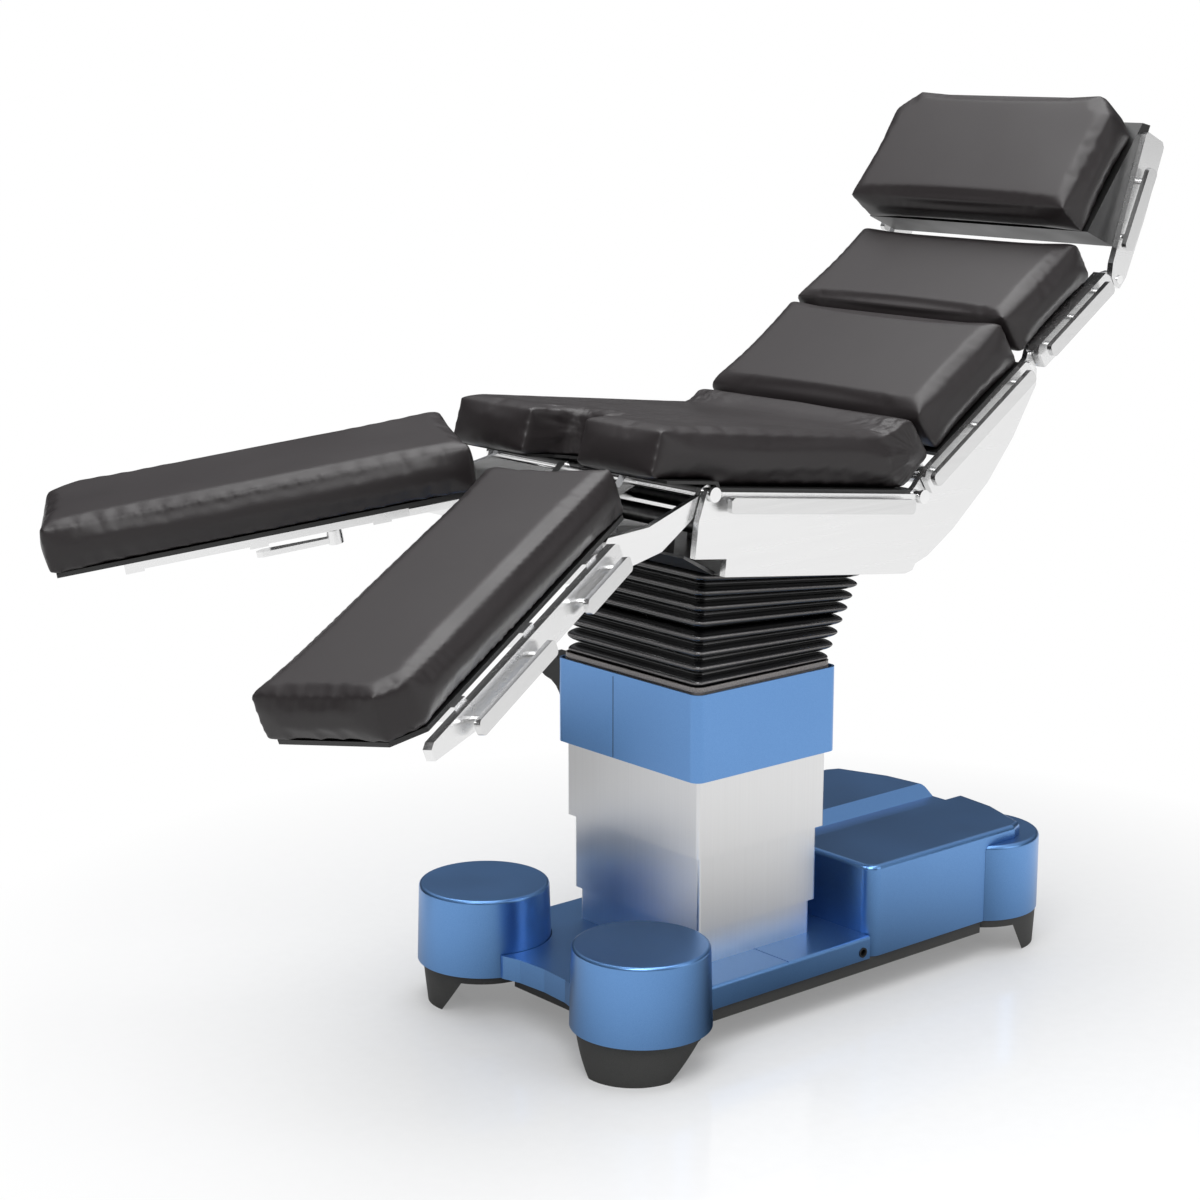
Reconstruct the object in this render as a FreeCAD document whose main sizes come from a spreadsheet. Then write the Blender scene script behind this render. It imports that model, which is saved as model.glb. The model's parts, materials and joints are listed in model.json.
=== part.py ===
import FreeCAD, Part
import math
import os
import Sketcher

# Operating table: wheel-less base with four feet, telescopic lifting column,
# tilting top in seat, lower back, upper back, head and two leg sections.
#
# Frame: +Z up, +X toward the head end, the near side of the table is -Y.
# The origin lies on the floor under the column's axis. Lengths are in mm,
# angles in degrees.

SIZES = [
    # Clearances.
    ("fit", 0.3, "gap between covers and between pads and their boards"),
    ("run", 0.05, "radial play of a pin in its bore"),
    # Base.
    ("cover_low", 73, "lower rim of the painted covers"),
    ("deck_top", 114, "top of the deck cover"),
    ("deck_foot_x", 342, "foot-end edge of the deck, from the origin"),
    ("deck_flare", 14, "how far that edge flares out toward the drums"),
    ("deck_head_x", 195, "where the deck meets the head housing"),
    ("deck_half_y", 244, "half width of the deck and the housing"),
    ("cover_wall", 8, "wall of the covers"),
    ("seam_x", 4, "place of the deck's cross seam"),
    ("seam_wide", 2, "width of the deck's cross seam"),
    ("seam_deep", 1.5, "depth of the deck's cross seam"),
    ("deck_edge", 5, "rounding of the deck's edges"),
    ("skirt_low", 50, "underside of the dark skirt"),
    ("skirt_inset", 5, "how far the skirt stands inside the covers"),
    ("skirt_floor", 4, "floor of the skirt tray"),
    ("skirt_foot_x", 326, "foot end of the skirt, from the origin"),
    ("chassis_half_y", 150, "half width of the steel chassis"),
    ("chassis_foot_x", 190, "foot end of the chassis"),
    ("chassis_head_x", 420, "head end of the chassis"),
    ("chassis_top", 66, "top of the chassis"),
    ("drum_x", 307, "drum centre, from the origin toward the foot end"),
    ("drum_y", 208, "drum centre, from the middle"),
    ("drum_low_radius", 118, "radius of the drum covers at their lower rim"),
    ("drum_top_radius", 114, "radius of the drum covers at their top"),
    ("drum_top", 210, "top of the drum covers"),
    ("drum_wall", 8, "wall of the drum covers"),
    ("drum_edge", 6, "rounding of the drum's top edge"),
    ("foot_turn", 42, "direction of a drum's foot, outward from the table's length"),
    ("foot_top_radius", 109, "drum foot, radius at its top"),
    ("foot_sole_radius", 88, "drum foot, radius on the floor"),
    ("foot_shift", 16, "how far a sole stands toward its end of the table"),
    ("foot_arch", 70, "where the drum foot's arch starts on the floor"),
    ("housing_top", 239, "top of the head housing"),
    ("housing_end_x", 645, "head end of the housing"),
    ("housing_edge", 9, "rounding of the housing's top edge"),
    ("housing_corner", 24, "rounding of the housing's upright corners"),
    ("valley_floor", 219, "floor of the shallow valley in the housing"),
    ("valley_half", 24, "half width of the valley's floor"),
    ("valley_half_top", 54, "half width of the valley at its top"),
    ("pod_x", 567, "caster pod centre"),
    ("pod_y", 160, "caster pod centre"),
    ("pod_radius", 112, "radius of the pod cover"),
    ("pod_top", 215, "top of the pod cover"),
    ("pod_edge", 8, "rounding of the pod's top edge"),
    ("pod_turn", 43, "direction of a pod's foot, outward from the table's length"),
    ("pod_foot_top", 110, "pod foot radius at its top"),
    ("pod_foot_sole", 96, "pod foot radius on the floor"),
    ("pod_foot_arch", 82, "where the pod foot's arch starts on the floor"),
    ("socket_x", 177, "place of the round socket in the deck's near edge"),
    ("socket_z", 88, "height of that socket"),
    ("socket_radius", 9, "radius of the socket"),
    # Column.
    ("stage_wall", 4, "wall of the telescopic covers"),
    ("stage_corner", 6, "corner rounding of the telescopic covers"),
    ("lower_half_x", 130, "lower stage"),
    ("lower_half_y", 157, "lower stage"),
    ("lower_top", 395, "hidden top of the lower stage"),
    ("middle_half_x", 139, "middle stage"),
    ("middle_half_y", 163, "middle stage"),
    ("middle_low", 175, "bottom of the middle stage"),
    ("middle_top", 445, "hidden top of the middle stage"),
    ("upper_half_x", 149, "upper stage"),
    ("upper_half_y", 171, "upper stage"),
    ("upper_low", 309, "bottom of the upper stage"),
    ("upper_top", 577, "top of the upper stage"),
    ("collar_half_x", 164, "painted collar"),
    ("collar_half_y", 183, "painted collar"),
    ("collar_low", 445, "bottom of the collar"),
    ("collar_top", 595, "top of the collar"),
    ("collar_corner", 17, "corner rounding of the collar"),
    ("head_plate", 13, "thickness of the column's head plate"),
    ("trim_half_x", 156, "metal trim band round the bellows"),
    ("trim_half_y", 174, "metal trim band round the bellows"),
    ("trim_wall", 5, "wall of the trim band"),
    ("trim_tall", 7, "height of the trim band"),
    ("trim_corner", 12, "corner rounding of the trim band and the head plate"),
    ("tube_radius", 60, "lift cylinder, outside"),
    ("ram_radius", 45, "lift ram"),
    ("ram_low", 250, "lower end of the lift ram"),
    # Gimbal under the seat.
    ("tilt_z", 705, "height of the two tilt axes"),
    ("cross_half", 40, "half size of the gimbal block"),
    ("cross_tall", 44, "height of the gimbal block"),
    ("trunnion_radius", 12, "gimbal trunnions"),
    ("trunnion_end", 72, "end of the trunnions, from the middle"),
    ("ear_near", 52, "inner face of the gimbal ears"),
    ("ear_far", 68, "outer face of the gimbal ears"),
    ("ear_half", 25, "half width of the gimbal ears"),
    ("bellows_shift", 38, "how far the bellows' top stands toward the head end"),
    ("flange_x", 278, "middle of the bellows' flange along the seat"),
    ("flange_half_x", 196, "half length of the bellows' flange"),
    ("flange_half_y", 182, "half width of the bellows' flange"),
    ("flange_corner", 30, "corner rounding of the bellows' flange"),
    ("flange_wide", 24, "width of the bellows' flange"),
    ("fold_deep", 17, "depth of the bellows' folds"),
    ("fold_corner", 12, "corner rounding of the bellows"),
    ("fold_wall", 3, "wall of the bellows"),
    # Table top, planes of the side plates measured from the middle.
    ("outer_high", 276, "outer plate plane, outside"),
    ("middle_plane_low", 251, "middle plate plane, inside"),
    ("middle_plane_high", 262, "middle plate plane, outside"),
    ("inner_low", 238, "inner plate plane, inside"),
    ("inner_high", 249, "inner plate plane, outside"),
    ("pad_half", 262, "half width of the pads"),
    ("pad_gap", 2, "from the pads' sides to the outer plates"),
    ("rail_low", 288, "accessory rail, inside"),
    ("rail_high", 298, "accessory rail, outside"),
    ("rail_tall", 25, "height of an accessory rail"),
    ("post_radius", 6, "rail posts"),
    ("hinge_radius", 10, "section hinge shafts"),
    ("hinge_head", 12, "heads of the hinge shafts"),
    ("hinge_end", 284, "ends of the hinge shafts"),
    ("hub_radius", 14, "hubs round the hinge shafts"),
    ("pad_edge", 12, "rounding of the pads"),
    # Seat section, measured from the leg hinge along the seat.
    ("leg_hinge_x", 222, "leg hinge, from the origin toward the foot end"),
    ("leg_hinge_z", 951, "height of the leg hinge"),
    ("seat_pitch", 7, "head-down slope of the seat as stored"),
    ("seat_length", 485.6, "leg hinge to back hinge"),
    ("panel_low", 132, "depth of the side panels below the hinges"),
    ("panel_foot", 23, "panel end past the leg hinge"),
    ("panel_step", 103, "depth of the panel's foot corner"),
    ("panel_notch", 45, "length of the panel's foot notch"),
    ("tray_wall", 4, "thickness of the seat tray"),
    ("tray_gap", 23.6, "from the head end of the seat tray and board to the back hinge"),
    ("tube_place", 70, "place of the first cross tube of the seat"),
    ("tube_back", 155.6, "from the second cross tube of the seat to the back hinge"),
    ("seat_top", 100, "top of the seat pad"),
    ("seat_pad_low", 10, "underside of the seat pad"),
    ("seat_pad_front_low", 20, "underside of the pad past the leg hinge"),
    ("seat_front", 104, "foot end of the seat pad"),
    ("seat_rise", 30, "height of the roll at the seat pad's head end"),
    ("cutout_half", 66, "half width of the perineal cut-out"),
    ("cutout_deep", 92, "depth of the perineal cut-out"),
    ("tube_seat_radius", 16, "cross tubes of the seat"),
    # Back sections, measured from the back hinge along the back.
    ("back_angle", 33.5, "slope of the back as stored"),
    ("back_length", 605, "back hinge to head hinge"),
    ("split", 345, "hinge between lower and upper back"),
    ("back_top", 118, "top of the back pads"),
    ("lower_pad_start", 82, "foot end of the lower back pad's underside"),
    ("lower_pad_low", 26, "underside of the lower back pad"),
    ("upper_pad_low", 34, "underside of the upper back pad"),
    ("seam_gap", 4, "gap between the two back pads"),
    ("upper_pad_end", 566, "head end of the upper back pad"),
    ("fin_deep", 112, "depth of the side fins"),
    ("board", 7.7, "thickness of the back boards"),
    # Head section, measured from the head hinge along its plates.
    ("head_angle", 66, "slope of the head plates as stored"),
    ("head_length", 262, "length of the head side plates"),
    ("head_pad_thick", 78, "thickness of the head pad"),
    ("head_pad_long", 250, "length of the head pad"),
    ("head_pad_corner", 40, "cut corners of the head pad"),
    ("head_pad_u", 40.3, "lower end of the head pad along the plates"),
    ("head_pad_n", 110.8, "back of the head pad off the plates"),
    ("head_tilt", 13.5, "slope of the head pad to its plates"),
    # Leg sections, measured from the leg hinge along the leg.
    ("near_pitch", 20.6, "near leg, slope down"),
    ("near_splay", 20, "near leg, swing outward"),
    ("far_pitch", 12, "far leg, slope down"),
    ("far_splay", 32.2, "far leg, swing outward"),
    ("pivot_u", 200, "splay pivot along the leg"),
    ("pivot_v", 120, "splay pivot from the middle"),
    ("pivot_radius", 12, "splay pivot pin"),
    ("leg_pad_start", 167, "hip end of the leg pad"),
    ("leg_pad_inner", 12, "inner edge of the leg pad, from the middle"),
    ("leg_pad_wide", 250, "width of the leg pad"),
    ("leg_pad_long", 696, "length of the leg pad"),
    ("leg_pad_top", 122, "top of the leg pad"),
    ("leg_pad_thick", 80, "thickness of the leg pad"),
    ("leg_slant", 28, "slant of the hip end"),
    ("leg_corner_v", 35, "outer foot corner, across"),
    ("leg_corner_u", 46, "outer foot corner, along"),
    ("link_end", 212, "end of the link plate"),
    ("leg_plate_start", 266, "start of the leg's side plate"),
    ("leg_plate_end", 838, "end of the leg's side plate"),
    ("lever_u", 410, "lock lever hub along the leg"),
    ("lever_v", 62, "lock lever hub from the middle"),
    ("lever_long", 128, "length of the lock lever"),
]

doc = FreeCAD.newDocument("OperatingTable")
sheet = doc.addObject("Spreadsheet::Sheet", "Sizes")


class Dim:
    """A size together with the sheet expression that gives it."""

    def __init__(self, value, text):
        self.value = float(value)
        self.text = text

    def __add__(self, other):
        other = dim(other)
        return Dim(self.value + other.value, "(%s + %s)" % (self.text, other.text))

    def __sub__(self, other):
        other = dim(other)
        return Dim(self.value - other.value, "(%s - %s)" % (self.text, other.text))

    def __mul__(self, other):
        other = dim(other)
        return Dim(self.value * other.value, "(%s * %s)" % (self.text, other.text))

    def __neg__(self):
        return Dim(-self.value, "(0 - %s)" % self.text)

    def __radd__(self, other):
        return dim(other) + self

    def __rsub__(self, other):
        return dim(other) - self

    def __rmul__(self, other):
        return dim(other) * self


def dim(number):
    """Turn a plain number into a size; a size passes through."""
    if isinstance(number, Dim):
        return number
    return Dim(number, "(%r)" % float(number))


class Sizes:
    """Named access to the sheet's sizes."""


def fill_sheet():
    """Write every size into the sheet and return the named sizes."""
    sizes = Sizes()
    for row, (alias, value, note) in enumerate(SIZES, start=1):
        sheet.set("A%d" % row, note)
        sheet.set("B%d" % row, str(value))
        sheet.setAlias("B%d" % row, alias)
        setattr(sizes, alias, Dim(value, "Sizes.%s" % alias))
    doc.recompute()
    return sizes


d = fill_sheet()
parts = []


def bind(item, name, size):
    """Set one property of an object from a size."""
    item.setExpression(name, dim(size).text)


def turned(x, z, angle):
    """Placement of a section: its origin in the XZ plane and its slope."""
    move = FreeCAD.Vector(x, 0, z)
    return FreeCAD.Placement(move, FreeCAD.Rotation(FreeCAD.Vector(0, 1, 0), angle))


def along(start, length, angle):
    """Point in the XZ plane a length away from start at a slope upward."""
    turn = math.radians(angle)
    return (start[0] + length * math.cos(turn), start[1] + length * math.sin(turn))


LEG_HINGE = (-d.leg_hinge_x.value, d.leg_hinge_z.value)
BACK_HINGE = along(LEG_HINGE, d.seat_length.value, -d.seat_pitch.value)
HEAD_HINGE = along(BACK_HINGE, d.back_length.value, d.back_angle.value)
WORLD = FreeCAD.Placement()
SEAT = turned(*LEG_HINGE, d.seat_pitch.value)
BACK = turned(*BACK_HINGE, -d.back_angle.value)
HEAD = turned(*HEAD_HINGE, -d.head_angle.value)


def leg_pitch_frame(pitch):
    """Frame of a leg link: X toward the foot along the leg, Z off the pad."""
    half_turn = FreeCAD.Placement(FreeCAD.Vector(), FreeCAD.Rotation(FreeCAD.Vector(0, 0, 1), 180))
    origin = FreeCAD.Placement(FreeCAD.Vector(LEG_HINGE[0], 0, LEG_HINGE[1]), FreeCAD.Rotation())
    slope = FreeCAD.Placement(FreeCAD.Vector(), FreeCAD.Rotation(FreeCAD.Vector(0, 1, 0), pitch))
    return origin.multiply(half_turn).multiply(slope)


def leg_splay_frame(pitch, splay, side):
    """Frame of a leg swung outward about its splay pivot."""
    pivot = FreeCAD.Vector(d.pivot_u.value, side * d.pivot_v.value, 0)
    swing = FreeCAD.Rotation(FreeCAD.Vector(0, 0, 1), side * splay)
    return leg_pitch_frame(pitch).multiply(FreeCAD.Placement(FreeCAD.Vector(), swing, pivot))


def seat_end():
    """Head end of the seat tray, board and pad along the seat."""
    return d.seat_length - d.tray_gap


def outer_low():
    """Inner plane of the outer plates, just outside the pads."""
    return d.pad_half + d.pad_gap


def new_body(label, place):
    """Start a sub-part."""
    body = doc.addObject("PartDesign::Body", "Body_" + label)
    body.Label = label
    body.Placement = place
    parts.append(body)
    return body


def new_sketch(body, role, height, centre=(0, 0), turn=0):
    """Sketch on one of the body's own origin planes, moved along its normal."""
    sketch = body.newObject("Sketcher::SketchObject", "Sketch_" + body.Label)
    plane = [p for p in body.Origin.OriginFeatures if p.Role == role][0]
    sketch.AttachmentSupport = [(plane, "")]
    sketch.MapMode = "FlatFace"
    move = FreeCAD.Vector(dim(centre[0]).value, dim(centre[1]).value, dim(height).value)
    sketch.AttachmentOffset = FreeCAD.Placement(move, FreeCAD.Rotation(FreeCAD.Vector(0, 0, 1), turn))
    bind(sketch, "AttachmentOffset.Base.x", centre[0])
    bind(sketch, "AttachmentOffset.Base.y", centre[1])
    bind(sketch, "AttachmentOffset.Base.z", height)
    return sketch


def pin_point(sketch, geometry, position, x, y):
    """Fix one point of the sketch at sizes measured from its origin."""
    for kind, size in (("DistanceX", dim(x)), ("DistanceY", dim(y))):
        index = sketch.addConstraint(Sketcher.Constraint(kind, -1, 1, geometry, position, size.value))
        sketch.setExpression("Constraints[%d]" % index, size.text)


def draw_polygon(sketch, points):
    """Closed outline through the given points."""
    corners = [FreeCAD.Vector(dim(x).value, dim(y).value, 0) for x, y in points]
    count = len(corners)
    lines = [Part.LineSegment(corners[i], corners[(i + 1) % count]) for i in range(count)]
    first = sketch.addGeometry(lines, False)[0]
    for i in range(count):
        sketch.addConstraint(Sketcher.Constraint("Coincident", first + i, 2, first + (i + 1) % count, 1))
    for i, (x, y) in enumerate(points):
        pin_point(sketch, first + i, 1, x, y)


def draw_circle(sketch, x, y, radius):
    """Circle with its centre and radius fixed."""
    centre = FreeCAD.Vector(dim(x).value, dim(y).value, 0)
    circle = sketch.addGeometry(Part.Circle(centre, FreeCAD.Vector(0, 0, 1), dim(radius).value), False)
    pin_point(sketch, circle, 3, x, y)
    index = sketch.addConstraint(Sketcher.Constraint("Radius", circle, dim(radius).value))
    sketch.setExpression("Constraints[%d]" % index, dim(radius).text)


def draw_rounded(sketch, half_x, half_y, corner):
    """Rectangle about the origin with rounded corners."""
    x = (dim(half_x) - corner).value
    y = (dim(half_y) - corner).value
    r = dim(corner).value
    normal = FreeCAD.Vector(0, 0, 1)
    signs = [(1, 1), (-1, 1), (-1, -1), (1, -1)]
    arcs = []
    for i, (a, b) in enumerate(signs):
        circle = Part.Circle(FreeCAD.Vector(a * x, b * y, 0), normal, r)
        arcs.append(Part.ArcOfCircle(circle, i * math.pi / 2, (i + 1) * math.pi / 2))
    lines = [Part.LineSegment(arcs[i].EndPoint, arcs[(i + 1) % 4].StartPoint) for i in range(4)]
    first = sketch.addGeometry(arcs + lines, False)[0]
    for i, (a, b) in enumerate(signs):
        arc = first + i
        line = first + 4 + i
        sketch.addConstraint(Sketcher.Constraint("Tangent", arc, 2, line, 1))
        sketch.addConstraint(Sketcher.Constraint("Tangent", line, 2, first + (i + 1) % 4, 1))
        pin_point(sketch, arc, 3, a * (dim(half_x) - corner), b * (dim(half_y) - corner))
        if i:
            sketch.addConstraint(Sketcher.Constraint("Equal", first, arc))
    index = sketch.addConstraint(Sketcher.Constraint("Radius", first, r))
    sketch.setExpression("Constraints[%d]" % index, dim(corner).text)


def pad(body, sketch, length):
    """Grow a sketch along its normal."""
    feature = body.newObject("PartDesign::Pad", "Pad_" + body.Label)
    feature.Profile = sketch
    feature.Length = dim(length).value
    bind(feature, "Length", length)
    sketch.Visibility = False
    doc.recompute()
    return feature


def pocket(body, sketch, length, forward=False):
    """Cut a sketch into the body, against its normal unless forward is set."""
    before = body.Shape.Volume
    feature = body.newObject("PartDesign::Pocket", "Pocket_" + body.Label)
    feature.Profile = sketch
    feature.Length = dim(length).value
    bind(feature, "Length", length)
    feature.Reversed = forward
    doc.recompute()
    if not body.Shape.Volume < before - 1:
        raise RuntimeError("a pocket of %s cuts nothing" % body.Label)
    return feature


def revolve(body, sketch):
    """Turn a sketch about its own vertical axis."""
    feature = body.newObject("PartDesign::Revolution", "Revolution_" + body.Label)
    feature.Profile = sketch
    feature.ReferenceAxis = (sketch, ["V_Axis"])
    feature.Angle = 360
    sketch.Visibility = False
    doc.recompute()


def round_edges(body, radius, wanted):
    """Round every edge of the body that the test picks."""
    base = body.Tip
    names = ["Edge%d" % i for i, edge in enumerate(base.Shape.Edges, start=1) if wanted(edge)]
    if not names:
        raise RuntimeError("no edge of %s to round" % body.Label)
    feature = body.newObject("PartDesign::Fillet", "Fillet_" + body.Label)
    feature.Base = (base, names)
    feature.Radius = dim(radius).value
    bind(feature, "Radius", radius)
    doc.recompute()
    if not feature.isValid():
        raise RuntimeError("rounding fails on %s" % body.Label)
    return feature


def runs_along(edge, axis):
    """True for a straight edge along an axis."""
    if not isinstance(edge.Curve, Part.Line):
        return False
    return abs(edge.Curve.Direction.dot(axis)) > 0.999


def at_height(edge, height):
    """True for an edge that lies wholly at one height."""
    box = edge.BoundBox
    return abs(box.ZMin - height) < 0.01 and abs(box.ZMax - height) < 0.01


UP = FreeCAD.Vector(0, 0, 1)
ACROSS = FreeCAD.Vector(0, 1, 0)
ALONG = FreeCAD.Vector(1, 0, 0)


def rectangle(half_x, half_y):
    """Corners of a rectangle about the origin."""
    return [(-dim(half_x), -dim(half_y)), (half_x, -dim(half_y)), (half_x, half_y), (-dim(half_x), half_y)]


def box_points(x_low, y_low, x_high, y_high):
    """Corners of a rectangle between two corners."""
    return [(x_low, y_low), (x_high, y_low), (x_high, y_high), (x_low, y_high)]


def flat_plate(label, place, low, high, points):
    """Plate in the XY plane between two heights."""
    body = new_body(label, place)
    sketch = new_sketch(body, "XY_Plane", low)
    draw_polygon(sketch, points)
    pad(body, sketch, dim(high) - low)
    return body


def side_plate(label, place, low, high, points):
    """Plate in the XZ plane between two Y values."""
    body = new_body(label, place)
    add_side_plate(body, low, high, points)
    return body


def add_side_plate(body, low, high, points):
    """Add a plate in the XZ plane between two Y values to a body."""
    sketch = new_sketch(body, "XZ_Plane", -dim(high))
    draw_polygon(sketch, points)
    pad(body, sketch, dim(high) - low)


def add_cross_rod(body, low, high, x, z, radius):
    """Add a round rod along Y between two Y values."""
    sketch = new_sketch(body, "XZ_Plane", -dim(high))
    draw_circle(sketch, x, z, radius)
    pad(body, sketch, dim(high) - low)


def cut_cross_bore(body, low, high, x, z, radius):
    """Cut a round bore along Y between two Y values."""
    sketch = new_sketch(body, "XZ_Plane", -dim(low))
    draw_circle(sketch, x, z, radius)
    pocket(body, sketch, dim(high) - low)


def cut_down(body, high, depth, points):
    """Cut a polygon downward from a height."""
    sketch = new_sketch(body, "XY_Plane", high)
    draw_polygon(sketch, points)
    pocket(body, sketch, depth)


def span(side, low, high):
    """Y range on one side of the middle."""
    if side < 0:
        return -dim(high), -dim(low)
    return dim(low), dim(high)


def tube_cover(label, outer, inner, low, high):
    """Rounded rectangular sleeve; outer and inner are half sizes and corner."""
    body = new_body(label, WORLD)
    sketch = new_sketch(body, "XY_Plane", low)
    draw_rounded(sketch, *outer)
    draw_rounded(sketch, *inner)
    pad(body, sketch, dim(high) - low)
    return body


def grown(outline, gap):
    """Half sizes and corner of a rounded rectangle, grown by a gap."""
    return tuple(dim(size) + gap for size in outline)


def housing_outline(grow):
    """Plan of the head housing, grown outward by a gap."""
    g = dim(grow)
    y = d.deck_half_y
    end = d.housing_end_x
    half = [(end + g, 56), (end - 9 + g, 133), (end - 46 + g, y - 12 + g), (end - 73 + g, y + g)]
    far = half + [(d.deck_head_x - g, y + g)]
    near = [(x, -dim(v)) for x, v in reversed(far)]
    return near + far


def make_deck_cover():
    """Painted deck between the drums and the head housing."""
    low = d.cover_low
    flare = -d.deck_foot_x - d.deck_flare
    half = [(-d.deck_foot_x, 0), (-d.deck_foot_x - d.deck_flare * 0.3, 60), (flare, 95), (flare, d.deck_half_y),
            (d.deck_head_x - d.fit, d.deck_half_y)]
    outline = half + [(x, -dim(y)) for x, y in reversed(half[1:])]
    body = flat_plate("deck_cover", WORLD, low, d.deck_top, outline)
    top = d.deck_top.value
    round_edges(body, d.deck_edge, lambda edge: at_height(edge, top) and runs_along(edge, ALONG))
    wall = d.cover_wall
    inside = box_points(-d.deck_foot_x + wall, -d.deck_half_y + wall,
                        d.deck_head_x - d.fit - wall, d.deck_half_y - wall)
    sketch = new_sketch(body, "XY_Plane", low)
    draw_polygon(sketch, inside)
    pocket(body, sketch, d.deck_top - low - wall, forward=True)
    for side in (-1, 1):
        sketch = new_sketch(body, "XY_Plane", d.deck_top + 1)
        draw_circle(sketch, -d.drum_x, side * d.drum_y, d.drum_low_radius + d.fit)
        pocket(body, sketch, d.deck_top - low + 2)
    sketch = new_sketch(body, "XY_Plane", d.deck_top + 1)
    draw_circle(sketch, 0, 0, d.tube_radius + 3)
    pocket(body, sketch, 10)
    seam = box_points(-d.seam_x, -d.deck_half_y - 1, -d.seam_x + d.seam_wide, d.deck_half_y + 1)
    cut_down(body, d.deck_top, d.seam_deep, seam)
    cut_cross_bore(body, -d.deck_half_y - 1, -d.deck_half_y + wall + 1, d.socket_x, d.socket_z,
                   d.socket_radius)


def make_service_socket():
    """Round black socket set into the deck's near edge."""
    body = new_body("service_socket", WORLD)
    face = -d.deck_half_y
    add_cross_rod(body, face - 1.5, face + 14, d.socket_x, d.socket_z, d.socket_radius - d.run)
    cut_cross_bore(body, face - 2, face + 8, d.socket_x, d.socket_z, d.socket_radius - 3)


def make_skirt():
    """Dark tray under the covers, cleared round the four feet."""
    inset = d.skirt_inset
    end = d.housing_end_x - inset
    half = d.deck_half_y - inset
    top = d.cover_low - d.fit
    outline = [(-d.skirt_foot_x, -half), (end - 60, -half), (end, -half + 90),
               (end, half - 90), (end - 60, half), (-d.skirt_foot_x, half)]
    body = flat_plate("base_skirt", WORLD, d.skirt_low, top, outline)
    inside = box_points(-d.chassis_foot_x - 2, -d.chassis_half_y - 2, d.chassis_head_x + 2, d.chassis_half_y + 2)
    cut_down(body, top, top - d.skirt_low - d.skirt_floor, inside)
    for side in (-1, 1):
        sketch = new_sketch(body, "XY_Plane", top + 1)
        draw_circle(sketch, -d.drum_x, side * d.drum_y, d.foot_top_radius + d.fit)
        draw_circle(sketch, d.pod_x, side * d.pod_y, d.pod_foot_top + d.fit)
        pocket(body, sketch, top - d.skirt_low + 2)


def make_chassis():
    """Steel chassis plate in the skirt, and the lift cylinder on it."""
    low = d.skirt_low + d.skirt_floor
    outline = box_points(-d.chassis_foot_x, -d.chassis_half_y, d.chassis_head_x, d.chassis_half_y)
    flat_plate("chassis_plate", WORLD, low, d.chassis_top, outline)
    body = new_body("lift_cylinder", WORLD)
    sketch = new_sketch(body, "XY_Plane", d.chassis_top)
    draw_circle(sketch, 0, 0, d.tube_radius)
    draw_circle(sketch, 0, 0, d.ram_radius + d.run)
    pad(body, sketch, d.lower_top - d.chassis_top)


def make_drum(side, name):
    """Painted drum at the foot end, a revolved shell, with its tapered foot."""
    body = new_body("drum_cover_" + name, FreeCAD.Placement(
        FreeCAD.Vector(-d.drum_x.value, side * d.drum_y.value, 0), FreeCAD.Rotation()))
    sketch = new_sketch(body, "XZ_Plane", 0)
    low = d.cover_low
    top = d.drum_top
    wall = d.drum_wall
    draw_polygon(sketch, [(0, top), (d.drum_top_radius, top), (d.drum_low_radius, low),
                          (d.drum_low_radius - wall, low), (d.drum_top_radius - wall, top - wall),
                          (0, top - wall)])
    revolve(body, sketch)
    round_edges(body, d.drum_edge, lambda edge: at_height(edge, top.value))
    turn = 180 - side * d.foot_turn.value
    spot = FreeCAD.Placement(FreeCAD.Vector(-d.drum_x.value, side * d.drum_y.value, 0),
                             FreeCAD.Rotation(UP, turn))
    foot = new_body("drum_foot_" + name, spot)
    shift = (-d.foot_shift * math.cos(math.radians(turn)), d.foot_shift * math.sin(math.radians(turn)))
    make_foot_loft(foot, d.foot_sole_radius, d.foot_top_radius, shift)
    cut_foot_arch(foot, d.foot_arch, 36)


def make_foot_loft(foot, sole, top, shift):
    """Tapered foot from its sole on the floor to the covers."""
    low = new_sketch(foot, "XY_Plane", 0)
    draw_circle(low, *shift, sole)
    high = new_sketch(foot, "XY_Plane", d.cover_low - d.fit)
    draw_circle(high, 0, 0, top)
    loft = foot.newObject("PartDesign::AdditiveLoft", "Loft_" + foot.Label)
    loft.Profile = low
    loft.Sections = [high]
    loft.Ruled = True
    doc.recompute()


def cut_foot_arch(foot, start, slope):
    """Cut the inner side of a foot away so that only its outer side stands."""
    low = dim(start)
    arch = [(low, -5), (low, 0), (low - slope, d.skirt_low + 8), (-140, d.skirt_low + 8), (-140, -5)]
    sketch = new_sketch(foot, "XZ_Plane", -150)
    draw_polygon(sketch, arch)
    pocket(foot, sketch, 300, forward=True)


def make_pod(side, name):
    """Round pod at a head-end corner, with its tapered foot."""
    body = new_body("pod_cover_" + name, WORLD)
    sketch = new_sketch(body, "XY_Plane", d.cover_low)
    draw_circle(sketch, d.pod_x, side * d.pod_y, d.pod_radius)
    pad(body, sketch, d.pod_top - d.cover_low)
    round_edges(body, d.pod_edge, lambda edge: at_height(edge, d.pod_top.value))
    cut_down(body, d.pod_top + 1, d.pod_top - d.cover_low + 2, housing_outline(d.fit))
    outward = FreeCAD.Rotation(UP, side * d.pod_turn.value)
    spot = FreeCAD.Placement(FreeCAD.Vector(d.pod_x.value, side * d.pod_y.value, 0), outward)
    foot = new_body("pod_foot_" + name, spot)
    turn = math.radians(side * d.pod_turn.value)
    shift = (d.foot_shift * math.cos(turn), -d.foot_shift * math.sin(turn))
    make_foot_loft(foot, d.pod_foot_sole, d.pod_foot_top, shift)
    cut_foot_arch(foot, d.pod_foot_arch, 22)


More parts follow.
